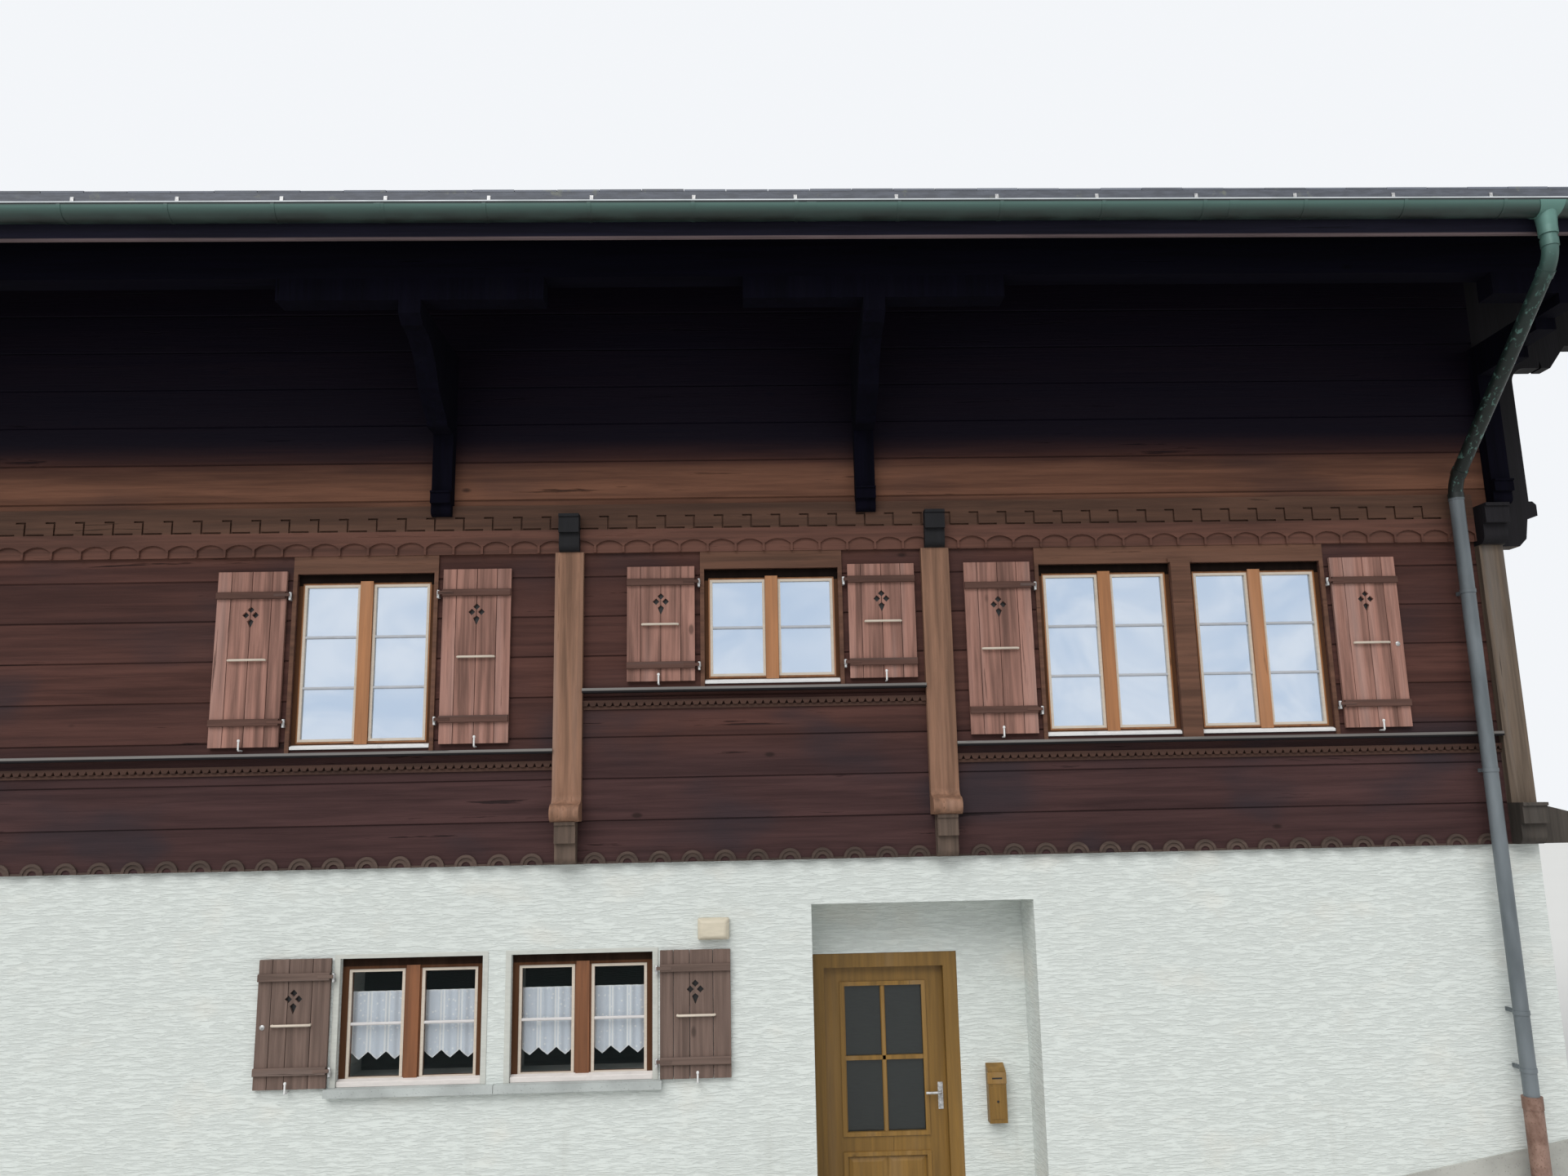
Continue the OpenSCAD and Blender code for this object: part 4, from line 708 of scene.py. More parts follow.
def rusty_iron(name):
    """Cast standpipe with brown-red paint and rust."""
    paint = Finish(name, 0.6, metallic=0.2)
    clouds = paint.noise((9.0, 9.0, 6.0), 4.0, 0.6)
    spots = paint.noise((60.0, 60.0, 60.0), 3.0, 0.6)
    shade = paint.mix(paint.step(clouds, 0.35, 0.68), (0.17, 0.095, 0.07), (0.30, 0.19, 0.15))
    paint.show("Base Color", paint.mix(paint.step(spots, 0.56, 0.68) * 0.6, shade, (0.10, 0.04, 0.02)))
    paint.relief(spots, 0.002)


def small_iron(name, colour, metallic):
    """Small iron fittings, dull with use."""
    paint = Finish(name, 0.5, metallic=metallic)
    clouds = paint.noise((60.0, 60.0, 60.0))
    shade = paint.mix(paint.step(clouds, 0.35, 0.65), tinted(colour, 0.7), tinted(colour, 1.15))
    paint.show("Base Color", shade)
    paint.show("Roughness", 0.35 + 0.3 * clouds)
    paint.relief(clouds, 0.0006)


def paint_coat(name, colour, roughness=0.55):
    """Brushed house paint with a little dirt in the grain."""
    paint = Finish(name, roughness)
    brush = paint.noise((12.0, 12.0, 70.0))
    dirt = paint.noise((6.0, 6.0, 6.0), 4.0, 0.65)
    shade = paint.mix(paint.step(brush, 0.3, 0.7), tinted(colour, 0.92), colour)
    paint.show("Base Color", paint.mix(paint.step(dirt, 0.55, 0.78) * 0.35, shade, tinted(colour, 0.55)))
    paint.relief(brush, 0.0008)


def pane_glass(name):
    """Window glass: upstairs a near-opaque pane with a painted sky reflection, clear and dark on the ground
    storey.
    """
    paint = Finish(name, 0.06)
    height = paint.axes()[2]
    clouds = paint.noise((1.1, 1.1, 1.5), 3.0, 0.55, 0.8)
    # Painted reflection: pale sky with soft clouds on the upper panes
    painted_sky = paint.mix(paint.step(clouds, 0.30, 0.70), (0.56, 0.67, 0.82), (0.74, 0.81, 0.90))
    upper = height > TIMBER_FOOT
    paint.show("Base Color", paint.mix(upper, (0.006, 0.014, 0.016), painted_sky))
    paint.show("Metallic", upper * 0.9)
    paint.show("Alpha", upper * 0.83 + 0.12)
    paint.show("Roughness", 0.05 + 0.05 * clouds)


def lace_cloth(name):
    """White lace: a net ground with closed bands and a worked edge."""
    paint = Finish(name, 0.85)
    net = paint.cells((150.0, 1.0, 150.0))
    sprigs = paint.cells((26.0, 1.0, 26.0))
    closed = 1 - paint.step(net, 0.25, 0.42)
    sprig = 1 - paint.step(sprigs, 0.16, 0.24)
    worked = paint.math("MAXIMUM", sprig, paint.tone())
    weave = paint.math("MAXIMUM", closed * 0.5, worked)
    paint.show("Base Color", paint.mix(weave, (0.80, 0.89, 1.0), (0.94, 0.98, 1.0)))
    paint.show("Alpha", 0.86 + 0.13 * weave)
    paint.relief(weave, 0.0008)


def make_finishes(colours):
    """Makes every finish once. Nodes and pieces find theirs by name."""
    masonry("render", colours.render)
    concrete("concrete", (0.40, 0.40, 0.37))
    concrete("stone", (0.43, 0.46, 0.45))
    log_wall("logs_front", colours.log, "X")
    log_wall("logs_gable", colours.log, "Y")
    wood(
        "post_wood", colours.post, "Z", 0.72, 0.55,
        bands=[
            # Near black above the frieze's foot: painted shade under the eaves
            (FRIEZE_FOOT, 9.0, (0.007, 0.007, 0.009), 1.0),
            (0.0, SILL_LOG_TOP, (0.070, 0.058, 0.048), 0.8),
        ],
    )
    wood(
        "corner_wood", (0.155, 0.115, 0.085), "Z", 0.75, 0.6, shift=0.4,
        bands=[
            # Near black above the frieze's foot: painted shade under the eaves
            (FRIEZE_FOOT - 0.04, 9.0, (0.006, 0.005, 0.007), 1.0),
            (0.0, SILL_LOG_TOP, (0.040, 0.037, 0.034), 0.8),
        ],
    )
    wood("casing_wood", (0.150, 0.070, 0.043), "X", 0.72, shift=-0.2)
    wood(
        "carved_wood", (0.102, 0.050, 0.032), "X", 0.75, shift=-0.2,
        bands=[
            (0.0, SILL_LOG_TOP, (0.075, 0.052, 0.043), 0.9),
            # Darker band over the rope strips: painted shade under the sill boards
            (3.5, 4.5, (0.052, 0.025, 0.018), 0.85),
            (FRIEZE_FOOT - 0.01, FRIEZE_FOOT + 0.19, (0.118, 0.050, 0.037), 0.7),
        ],
    )
    # Consoles, purlins, brackets, rafters and eave boards take the near-black blue of painted eave shade
    wood("console_wood", colours.eave_shaded_beam, "X", 0.92)
    wood("bracket_wood", colours.eave_shaded_beam, "Z", 0.92)
    wood("rafter_wood", colours.eave_shaded_beam, "Y", 0.92)
    wood("eave_boards", colours.eave_shaded_beam, "X", 0.94)
    # Near-black blue body: painted shade behind the gutter. Pale band along its foot: painted light on the
    # lit lower edge
    wood(
        "fascia_wood", (0.0135, 0.0125, 0.028), "X", 0.8,
        bands=[(FASCIA_FOOT - 0.1, FASCIA_FOOT + 0.016, (0.15, 0.11, 0.115), 1.0)],
    )
    # The floors are painted dark: painted shade inside the rooms
    wood("floor_wood", (0.05, 0.032, 0.02), "X")
    wood(
        "sill_wood", (0.21, 0.195, 0.185), "X", 0.8, 0.35, shift=0.4,
        bands=[
            # Near-black lower part of each board: painted shadow
            (3.80, 3.879, (0.006, 0.005, 0.006), 1.0),
            (4.30, 4.340, (0.006, 0.005, 0.006), 1.0),
        ],
    )
    wood("shutter_wood", colours.shutter, "Z", 0.75, 0.58)
    wood("ground_shutter_wood", colours.shutter_ground, "Z", 0.8, 0.42)
    wood("batten_wood", tinted(colours.shutter, 0.34), "X", 0.8, 0.35, shift=0.5)
    wood("ground_batten_wood", tinted(colours.shutter_ground, 0.85), "X", 0.8, 0.35, shift=0.5)
    wood(
        "sash_wood", colours.sash, "Z", 0.42, 0.35, 0.0015,
        bands=[(0.0, TIMBER_FOOT, (0.17, 0.062, 0.024), 0.9)],
    )
    wood(
        "frame_wood", (0.082, 0.036, 0.018), "Z", 0.92, 0.3, 0.001,
        bands=[
            # Near-black bands at the window heads: painted shadow under the heads
            (2.295, 2.40, (0.012, 0.007, 0.005), 0.85),
            (5.22, 5.40, (0.003, 0.002, 0.002), 0.95),
        ],
    )
    wood("door_wood", colours.door, "Z", 0.45, 0.35, 0.002)
    slate("slate", colours.slate)
    painted_copper("gutter_metal", colours.gutter)
    pipe_metal("pipe_metal", colours.gutter)
    rusty_iron("standpipe_iron")
    small_iron("fittings", (0.52, 0.52, 0.52), 0.6)
    small_iron("dark_iron", (0.012, 0.011, 0.012), 0.1)
    paint_coat("white_paint", (0.80, 0.80, 0.80))
    paint_coat("cream_paint", (0.62, 0.54, 0.45))
    paint_coat("pink_paint", (0.74, 0.69, 0.66))
    paint_coat("upper_bar_paint", (0.46, 0.48, 0.52))
    paint_coat("ground_bar_paint", (0.62, 0.60, 0.60))
    paint_coat("smooth_plaster", (0.55, 0.56, 0.52), 0.9)
    paint_coat("lamp_shell", (0.62, 0.56, 0.44))
    paint_coat("door_glass", (0.02, 0.024, 0.024), 0.08)
    pane_glass("glass")
    lace_cloth("lace")


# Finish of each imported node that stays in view
NODE_FINISHES = {
    "render": (
        "front_wall_left", "front_wall_right", "front_wall_lintel", "entry_wall_side",
        "entry_wall_over", "back_wall", "left_wall", "right_wall",
    ),
    "concrete": ("ground_floor", "plinth"),
    "floor_wood": ("upper_floor", "attic_floor"),
    "logs_front": ("front_logs", "back_logs"),
    "logs_gable": ("left_gable_logs", "right_gable_logs"),
    "corner_wood": ("corner_logs",),
    "console_wood": ("gable_consoles", "purlins"),
    "post_wood": ("cross_wall_posts",),
    "carved_wood": ("carved_friezes",),
    "casing_wood": ("window_casings",),
    "sill_wood": ("sill_boards",),
    "bracket_wood": ("eave_brackets",),
    "rafter_wood": ("rafters",),
    "fascia_wood": ("fascia_boards",),
    "slate": ("roof_front", "roof_back", "ridge_cap"),
    "gutter_metal": ("gutters",),
    "pipe_metal": ("downpipes",),
    "standpipe_iron": ("standpipe",),
    "sash_wood": ("front_windows", "rear_windows"),
    "glass": ("window_glass",),
    "stone": ("stone_sills",),
    "fittings": ("shutter_pins",),
    "door_wood": ("door_frame", "door", "letterbox"),
}


def turned(point, quarters):
    """A point turned to the left about the house's middle by quarter turns."""
    x, y, z = point
    for _ in range(quarters % 4):
        x, y = -y, x
    return Vector((x, y, z))


class Shape:
    """Solids gathered for one piece. Points are given as on the front, then turned."""

    ROD_SIDES = 12
    LATHE_SIDES = 20

    def __init__(self, quarters=0):
        self.mesh = bmesh.new()
        self.layer = self.mesh.verts.layers.float.new("tone")
        self.quarters = quarters

    def vert(self, point, tone):
        made = self.mesh.verts.new(turned(point, self.quarters))
        made[self.layer] = tone
        return made

    def loft(self, rings, tone=0.5):
        """A closed skin through rings of points, with flat ends."""
        rows = [[self.vert(point, tone) for point in ring] for ring in rings]
        count = len(rows[0])
        for low, high in zip(rows, rows[1:]):
            for i in range(count):
                j = (i + 1) % count
                self.mesh.faces.new((low[i], low[j], high[j], high[i]))
        self.mesh.faces.new(rows[0][::-1])
        self.mesh.faces.new(rows[-1])

    def prism(self, outline, axis, start, end, tone=0.5):
        """Extrudes an outline along X, when it is given in Y and Z, or along Z, when in X and Y."""
        if axis == "x":
            rings = [[(t, a, b) for a, b in outline] for t in (start, end)]
        else:
            rings = [[(a, b, t) for a, b in outline] for t in (start, end)]
        self.loft(rings, tone)

    def box(self, low, high, tone=0.5):
        self.prism(rectangle(low[0], high[0], low[1], high[1]), "z", low[2], high[2], tone)

    def plate(self, outline, holes, near, far, tone=0.5):
        """A plate in X and Z between two depths. Its holes may run over its edge."""
        points = []
        loops = []
        for loop in (outline, *holes):
            loops.append(list(range(len(points), len(points) + len(loop))))
            points.extend(Vector(point) for point in loop)
        found = delaunay_2d_cdt(points, [], loops, 1, 0.00001)
        faces = [list(face) for face, source in zip(found[2], found[5]) if list(source) == [0]]
        used = sorted({i for face in faces for i in face})
        front = {i: self.vert((found[0][i].x, near, found[0][i].y), tone) for i in used}
        back = {i: self.vert((found[0][i].x, far, found[0][i].y), tone) for i in used}
        edges = [pair for face in faces for pair in zip(face, face[1:] + face[:1])]
        paired = set(edges)
        for face in faces:
            self.mesh.faces.new([front[i] for i in face])
            self.mesh.faces.new([back[i] for i in reversed(face)])
        for a, b in edges:
            if (b, a) not in paired:
                self.mesh.faces.new((front[b], front[a], back[a], back[b]))

    def rod(self, points, radius):
        """A round bar through points."""
        points = [Vector(point) for point in points]
        rings = []
        for i, point in enumerate(points):
            ahead = points[min(i + 1, len(points) - 1)]
            behind = points[max(i - 1, 0)]
            along = (ahead - behind).normalized()
            if i == 0:
                side = along.orthogonal().normalized()
            else:
                side = (side - along * side.dot(along)).normalized()
            rings.append(circle(point, radius, side, along.cross(side), self.ROD_SIDES))
        self.loft(rings)

    def lathe(self, profile, centre, axis):
        """A turned solid: pairs of radius and distance along an axis from the centre."""
        along = Vector(axis)
        side = along.orthogonal().normalized()
        other = along.cross(side)
        self.loft([
            circle(Vector(centre) + along * distance, radius, side, other, self.LATHE_SIDES)
            for radius, distance in profile
        ])


def circle(middle, radius, side, other, sides):
    """Points round a circle that lies along two directions."""
    angles = [2 * math.pi * i / sides for i in range(sides)]
    return [middle + radius * (math.cos(a) * side + math.sin(a) * other) for a in angles]


def rectangle(a0, a1, b0, b1):
    """Corners of a rectangle."""
    return [(a0, b0), (a1, b0), (a1, b1), (a0, b1)]


def grown(a0, a1, b0, b1, edge):
    """Corners of a rectangle made larger, or smaller, by an edge all round."""
    return rectangle(a0 - edge, a1 + edge, b0 - edge, b1 + edge)


def chamfered(a0, a1, b0, b1, cut):
    """Corners of a rectangle whose two corners at b0 are chamfered."""
    return [(a0 + cut, b0), (a1 - cut, b0), (a1, b0 + cut), (a1, b1), (a0, b1), (a0, b0 + cut)]


def trough(radius, parts):
    """Points along the lower half of a circle round the gutter's line."""
    angles = [math.pi + math.pi * i / parts for i in range(parts + 1)]
    return [(GUTTER_LINE + radius * math.cos(a), GUTTER_RIM + radius * math.sin(a)) for a in angles]


def placed(name, data):
    """An object of some data, linked to the scene."""
    made = bpy.data.objects.new(name, data)
    bpy.context.scene.collection.objects.link(made)
    return made


def piece(shape, name, finish, body="house", bevel=0.0, soft=False):
    """Makes the object of a shape, gives it its finish and lets it ride on a body."""
    mesh = bpy.data.meshes.new(name)
    bmesh.ops.recalc_face_normals(shape.mesh, faces=shape.mesh.faces)
    shape.mesh.to_mesh(mesh)
    shape.mesh.free()
    mesh.materials.append(finish_named(finish))
    if soft:
        mesh.shade_smooth()
        mesh.set_sharp_from_angle(angle=SMOOTH_ANGLE)
    made = placed(name, mesh)
    if bevel:
        edge = made.modifiers.new("edge", "BEVEL")
        edge.width = bevel
        edge.segments = 2
        edge.limit_method = "ANGLE"
        edge.angle_limit = BEVEL_ANGLE
    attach(made, body)
    return made


def solids(node):
    """Boxes of a node's separate solids as pairs of corners, from left to right."""
    mesh = bmesh.new()
    mesh.from_mesh(frame["nodes"][node].data)
    bmesh.ops.remove_doubles(mesh, verts=mesh.verts, dist=0.00001)
    mesh.verts.ensure_lookup_table()
    seen = set()
    found = []
    for start in mesh.verts:
        if start.index in seen:
            continue
        seen.add(start.index)
        stack = [start]
        group = []
        while stack:
            vert = stack.pop()
            group.append(vert.co.copy())
            for link in vert.link_edges:
                other = link.other_vert(vert)
                if other.index not in seen:
                    seen.add(other.index)
                    stack.append(other)
        low = Vector([min(p[i] for p in group) for i in range(3)])
        high = Vector([max(p[i] for p in group) for i in range(3)])
        found.append((low, high))
    mesh.free()
    found.sort(key=lambda pair: tuple(round(k, 4) for k in pair[0]))
    return found


def by_side(boxes):
    """Groups boxes by the side of the house, and turns each to stand as on the front."""
    sides = {0: [], 1: [], 2: [], 3: []}
    for low, high in boxes:
        middle = (low + high) / 2
        if high.x - low.x < high.y - low.y:
            quarters = 1 if middle.x > 0 else 3
        else:
            quarters = 0 if middle.y < 0 else 2
        a = turned(low, -quarters)
        b = turned(high, -quarters)
        near = Vector([min(a[i], b[i]) for i in range(3)])
        far = Vector([max(a[i], b[i]) for i in range(3)])
        sides[quarters].append((near, far))
    return sides


def storey_of(top):
    """The storey of a window or shutter, by the height of its top."""
    return "ground" if top < TIMBER_FOOT else "upper"


def boxes_of(node, storey, shapes):
    """Boxes of a node's solids on a storey, as on the front. The shapes are turned to each one's side."""
    for quarters, boxes in by_side(solids(node)).items():
        for shape in shapes:
            shape.quarters = quarters
        for low, high in boxes:
            if storey_of(high.z) == storey:
                yield low, high


def board_under(y):
    """Height of the underside of the roof boards at a distance from the ridge."""
    return RAFTER_FOOT + (EAVE_REACH - abs(y)) * ROOF_SLOPE + RAFTER_DEPTH / ROOF_COSINE


def roof_top(y):
    """Height of the roof slab's top at a distance from the ridge."""
    return board_under(y) + (CAD_BOX[1].z - RIDGE_CAP - board_under(0.0))


class ChaletPiece:
    """What the operators have in common."""

    bl_options = {"REGISTER"}

    def execute(self, context):
        self.make(context.scene)
        return {"FINISHED"}


class CHALET_OT_camera(ChaletPiece, bpy.types.Operator):
    """Sets the camera at the photograph's viewpoint."""

    bl_idname = "chalet.camera"
    bl_label = "Camera"

    def make(self, scene):
        yaw = math.radians(1.9)
        pitch = math.radians(10.4)
        roll = math.radians(-1.15)
        level = math.cos(pitch)
        ahead = Vector((math.sin(yaw) * level, math.cos(yaw) * level, math.sin(pitch)))
        side = ahead.cross(Vector((0, 0, 1))).normalized()
        up = side.cross(ahead)
        right = math.cos(roll) * side + math.sin(roll) * up
        over = math.cos(roll) * up - math.sin(roll) * side
        turn = Matrix((right, over, -ahead)).transposed().to_4x4()
        data = bpy.data.cameras.new("camera")
        data.sensor_width = 36.0
        data.lens = 27.03
        data.clip_end = 500.0
        stand = Matrix.Translation((0.30, -14.05, 3.44))
        camera = placed("camera", data)
        camera.matrix_world = stand @ turn
        scene.camera = camera


class CHALET_OT_stage(ChaletPiece, bpy.types.Operator):
    """Lays the pale floor and sets the soft studio light."""

    bl_idname = "chalet.stage"
    bl_label = "Stage and light"

    def make(self, scene):
        settings = scene.chalet_stage
        self.lay_floor(settings.floor)
        lamp = bpy.data.lights.new("soft_lamp", "SUN")
        lamp.energy = settings.lamp
        lamp.angle = settings.spread
        lamp.color = (1.0, 0.985, 0.96)
        direction = Vector((0.32, 0.72, -0.86))
        placed("soft_lamp", lamp).rotation_euler = direction.to_track_quat("-Z", "Y").to_euler()
        self.set_world(scene, settings.sky)
        scene.view_settings.view_transform = "Standard"

    def lay_floor(self, tone):
        """A wide, even floor that catches the house's shadow."""
        reach = 90.0
        mesh = bpy.data.meshes.new("floor")
        corners = [(x, y, 0) for x, y in rectangle(-reach, reach, -reach, reach)]
        mesh.from_pydata(corners, [], [(0, 1, 2, 3)])
        paint = Finish("floor", 0.9)
        grain = paint.noise((0.4, 0.4, 0.4))
        paint.show("Base Color", paint.mix(grain, tinted(tone, 0.98), tinted(tone, 1.02)))
        mesh.materials.append(finish_named("floor"))
        placed("floor", mesh)

    def set_world(self, scene, strength):
        """Even light on the object, and a pale backdrop for the camera, metal and glass."""
        scene.world = bpy.data.worlds.new("studio")
        sky = Nodes(scene.world)
        rays = sky.node("ShaderNodeLightPath").outputs
        seen = sky.math("MAXIMUM", rays["Is Camera Ray"], rays["Is Glossy Ray"])
        seen = sky.math("MAXIMUM", seen, rays["Is Transmission Ray"])
        shades = [
            sky.node("ShaderNodeBackground", None, {"Color": colour, "Strength": level}).outputs[0]
            for colour, level in (((0.93, 0.96, 1.0), strength), ((0.90, 0.92, 0.95), 1.0))
        ]
        blend = sky.node("ShaderNodeMixShader", None, {0: seen, 1: shades[0], 2: shades[1]})
        sky.node("ShaderNodeOutputWorld", None, {"Surface": blend.outputs[0]})


class CHALET_OT_finishes(ChaletPiece, bpy.types.Operator):
    """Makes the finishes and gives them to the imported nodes."""

    bl_idname = "chalet.finishes"
    bl_label = "Finishes"

    def make(self, scene):
        make_finishes(scene.chalet_colours)
        for finish, names in NODE_FINISHES.items():
            for name in names:
                slots = frame["nodes"][name].data.materials
                slots.clear()
                slots.append(finish_named(finish))


class CHALET_OT_slates(ChaletPiece, bpy.types.Operator):
    """Lays both slopes with rows of slates."""

    bl_idname = "chalet.slates"
    bl_label = "Slates"

    def make(self, scene):
        sizes = scene.chalet_roof
        low_y = -EAVE_REACH - SLATE_OVERHANG
        rows = int(-low_y / ROOF_COSINE / sizes.slate_show)
        step = -low_y / rows
        rise = step * ROOF_SLOPE
        for quarters, name in ((0, "slates_front"), (2, "slates_back")):
            chance = random.Random(7 + quarters)
            shape = Shape(quarters)
            for row in range(rows):
                y = low_y + row * step
                z = roof_top(low_y) + row * rise
                x = -ROOF_END - (row % 2) * sizes.slate_width / 2
                while x < ROOF_END:
                    left = max(x, -ROOF_END)
                    x += sizes.slate_width
                    right = min(x, ROOF_END) - sizes.slate_gap
                    if right - left < NARROWEST_SLATE:
                        continue
                    lift = sizes.slate_lift * chance.uniform(0.8, 1.15)
                    drop = chance.uniform(0.0, SLATE_DROP) if row else 0.0
                    outline = [
                        (y - drop, z - drop * ROOF_SLOPE - SLATE_SINK),
                        (y + step, z + rise - SLATE_SINK),
                        (y + step, z + rise + SLATE_THICK),
                        (y - drop, z - drop * ROOF_SLOPE + lift),
                    ]
                    shape.prism(outline, "x", left, right, chance.random())
            piece(shape, name, "slate")


class CHALET_OT_eaves(ChaletPiece, bpy.types.Operator):
    """Boards the roof's underside and closes the wall between the rafters."""

    bl_idname = "chalet.eaves"
    bl_label = "Eave boards"

    def make(self, scene):
        width = scene.chalet_roof.board_width
        eave = -EAVE_REACH - 0.058
        for quarters, side in ((0, "front"), (2, "back")):
            chance = random.Random(21 + quarters)
            shape = Shape(quarters)
            y = eave
            while y < -0.02:
                near = y + EAVE_BOARD_GAP
                far = min(y + width, -0.004)
                thick = EAVE_BOARD_THICK + chance.uniform(0.0, 0.002)
                near_z = board_under(near)
                far_z = board_under(far)
                outline = [(near, near_z - thick), (far, far_z - thick), (far, far_z), (near, near_z)]
                shape.prism(outline, "x", -ROOF_END, ROOF_END, chance.random())
                y += width
            piece(shape, f"eave_boards_{side}", "eave_boards")
            self.close(f"rafter_closing_{side}", quarters)

    def close(self, name, quarters):
        """The upright board between the rafters, inside the wall's face."""
        back = -TIMBER_FACE + 0.05
        front = back - CLOSING_THICK
        foot = board_under(back) - CLOSING_HEIGHT
        shape = Shape(quarters)
        outline = [
            (front, foot), (back, foot),
            (back, board_under(back) - EAVE_BOARD_GAP), (front, board_under(front) - EAVE_BOARD_GAP),
        ]
        shape.prism(outline, "x", -TIMBER_END, TIMBER_END, 0.4)
        piece(shape, name, "eave_boards")


class CHALET_OT_gutter_fittings(ChaletPiece, bpy.types.Operator):
    """Hangs the gutters in hooks and closes their ends."""

    bl_idname = "chalet.gutter_fittings"
    bl_label = "Gutter fittings"

    def make(self, scene):
        pitch = scene.chalet_roof.hook_pitch
        for quarters, side in ((0, "front"), (2, "back")):
            hooks = Shape(quarters)
            tabs = Shape(quarters)
            sleeves = Shape(quarters)
            x = FIRST_HOOK
            while x < ROOF_END:
                self.hook(hooks, x)
                self.tab(tabs, x)
                x += pitch
            for x in SLEEVES:
                self.strap(sleeves, x, 0.035, 0.002)
            end = [(GUTTER_LINE, GUTTER_RIM), *trough(GUTTER_RADIUS, 16)]
            for x in (-ROOF_END + 0.001, ROOF_END - 0.004):
                sleeves.prism(end, "x", x, x + 0.003)
            piece(hooks, f"gutter_hooks_{side}", "gutter_metal")
            piece(tabs, f"gutter_tabs_{side}", "fittings")
            piece(sleeves, f"gutter_sleeves_{side}", "gutter_metal")

    def strap(self, shape, x, half, thick):
        """A thin strap round the outside of the gutter."""
        outer = trough(GUTTER_RADIUS + thick, 18)
        inner = trough(GUTTER_RADIUS - 0.001, 18)
        for a, b, c, d in zip(outer, outer[1:], inner[1:], inner):
            shape.prism([a, b, c, d], "x", x - half, x + half)

    def hook(self, shape, x):
        """A hook under the gutter, with its bar across the top."""
        self.strap(shape, x, 0.013, 0.0035)
        front = GUTTER_LINE - GUTTER_RADIUS + 0.01
        back = GUTTER_LINE + GUTTER_RADIUS
        outline = [
            (front, GUTTER_RIM + 0.012), (back, GUTTER_RIM + 0.020),
            (back, GUTTER_RIM + 0.023), (front, GUTTER_RIM + 0.015),
        ]
        shape.prism(outline, "x", x - 0.010, x + 0.010)

    def tab(self, shape, x):
        """The pale tab that stands up from the gutter to the slates' edge."""
        back = -EAVE_REACH - 0.064
        front = back - 0.004
        top = GUTTER_RIM + 0.8 * (roof_top(back) - GUTTER_RIM)
        foot = GUTTER_RIM + 0.004
        shape.prism([(back, foot), (front, foot), (front, top), (back, top)], "x", x - 0.012, x + 0.012)


def window_panes(low, high):
    """The two glass openings of a window box, as (x0, x1, z0, z1)."""
    side, meeting, foot, head = PANE_BORDERS[storey_of(high.z)]
    middle = (low.x + high.x) / 2
    z0 = low.z + foot
    z1 = high.z - head
    return [
        (low.x + side, middle - meeting / 2, z0, z1),
        (middle + meeting / 2, high.x - side, z0, z1),
    ]


class CHALET_OT_windows(ChaletPiece, bpy.types.Operator):
    """Fits glazing bars, painted beads, rails and darker outer frames to all windows."""

    bl_idname = "chalet.windows"
    bl_label = "Window fittings"

    def make(self, scene):
        sizes = scene.chalet_windows
        for node, side in (("front_windows", "front"), ("rear_windows", "rear")):
            for storey in STOREYS:
                bars = Shape()
                beads = Shape()
                rails = Shape()
                frames = Shape()
                for low, high in boxes_of(node, storey, (bars, beads, rails, frames)):
                    bead = getattr(sizes, f"bead_{storey}")
                    self.glaze(bars, beads, bead, sizes.bar_height, low, high)
                    self.rail(rails, getattr(sizes, f"rail_{storey}"), low, high)
                    self.line(frames, bead, low, high)
                name = f"{side}_{storey}"
                piece(bars, f"{name}_glazing_bars", f"{storey}_bar_paint", bevel=0.002)
                piece(beads, f"{name}_beads", "cream_paint")
                piece(rails, f"{name}_rails", RAILS[storey][1], bevel=0.003)
                piece(frames, f"{name}_outer_frames", "frame_wood", bevel=0.001)

    def glaze(self, bars, beads, bead, bar_height, low, high):
        """Beads round both panes and bars across them."""
        face = high.y - FRAME_DEPTH
        glass = face + GLASS_FRONT
        lights = 3 if high.z - low.z > TALL_WINDOW else 2
        half = bar_height / 2
        for x0, x1, z0, z1 in window_panes(low, high):
            outer = grown(x0, x1, z0, z1, bead)
            inner = grown(x0, x1, z0, z1, -0.003)
            beads.plate(outer, [inner], face + SASH_BACK - 0.004, glass)
            for i in range(1, lights):
                z = z0 + (z1 - z0) * i / lights
                outline = chamfered(z - half, z + half, 0.0, BAR_DEPTH, 0.005)
                bars.prism([(glass - BAR_DEPTH + d, h) for h, d in outline], "x", x0, x1)

    def rail(self, rails, height, low, high):
        """The sloped rail along a window's foot."""
        face = high.y - FRAME_DEPTH
        front = face - RAILS[storey_of(high.z)][0]
        back = face + 0.004
        foot = low.z + 0.001
        top = low.z + height
        outline = [(back, foot), (front, foot), (front, top - 0.014), (back, top)]
        rails.prism(outline, "x", low.x + 0.002, high.x - 0.002)

    def line(self, frames, bead, low, high):
        """The darker outer frame round both casements."""
        edge, depth = SASH_EDGE, 0.002
        if storey_of(high.z) == "ground":
            edge, depth = bead, SASH_BACK + 0.002
        left, right = window_panes(low, high)
        face = high.y - FRAME_DEPTH
        inner = grown(left[0], right[1], left[2], left[3], edge)
        outer = grown(low.x, high.x, low.z, high.z, -0.0005)
        frames.plate(outer, [inner], face - 0.001, face + depth)


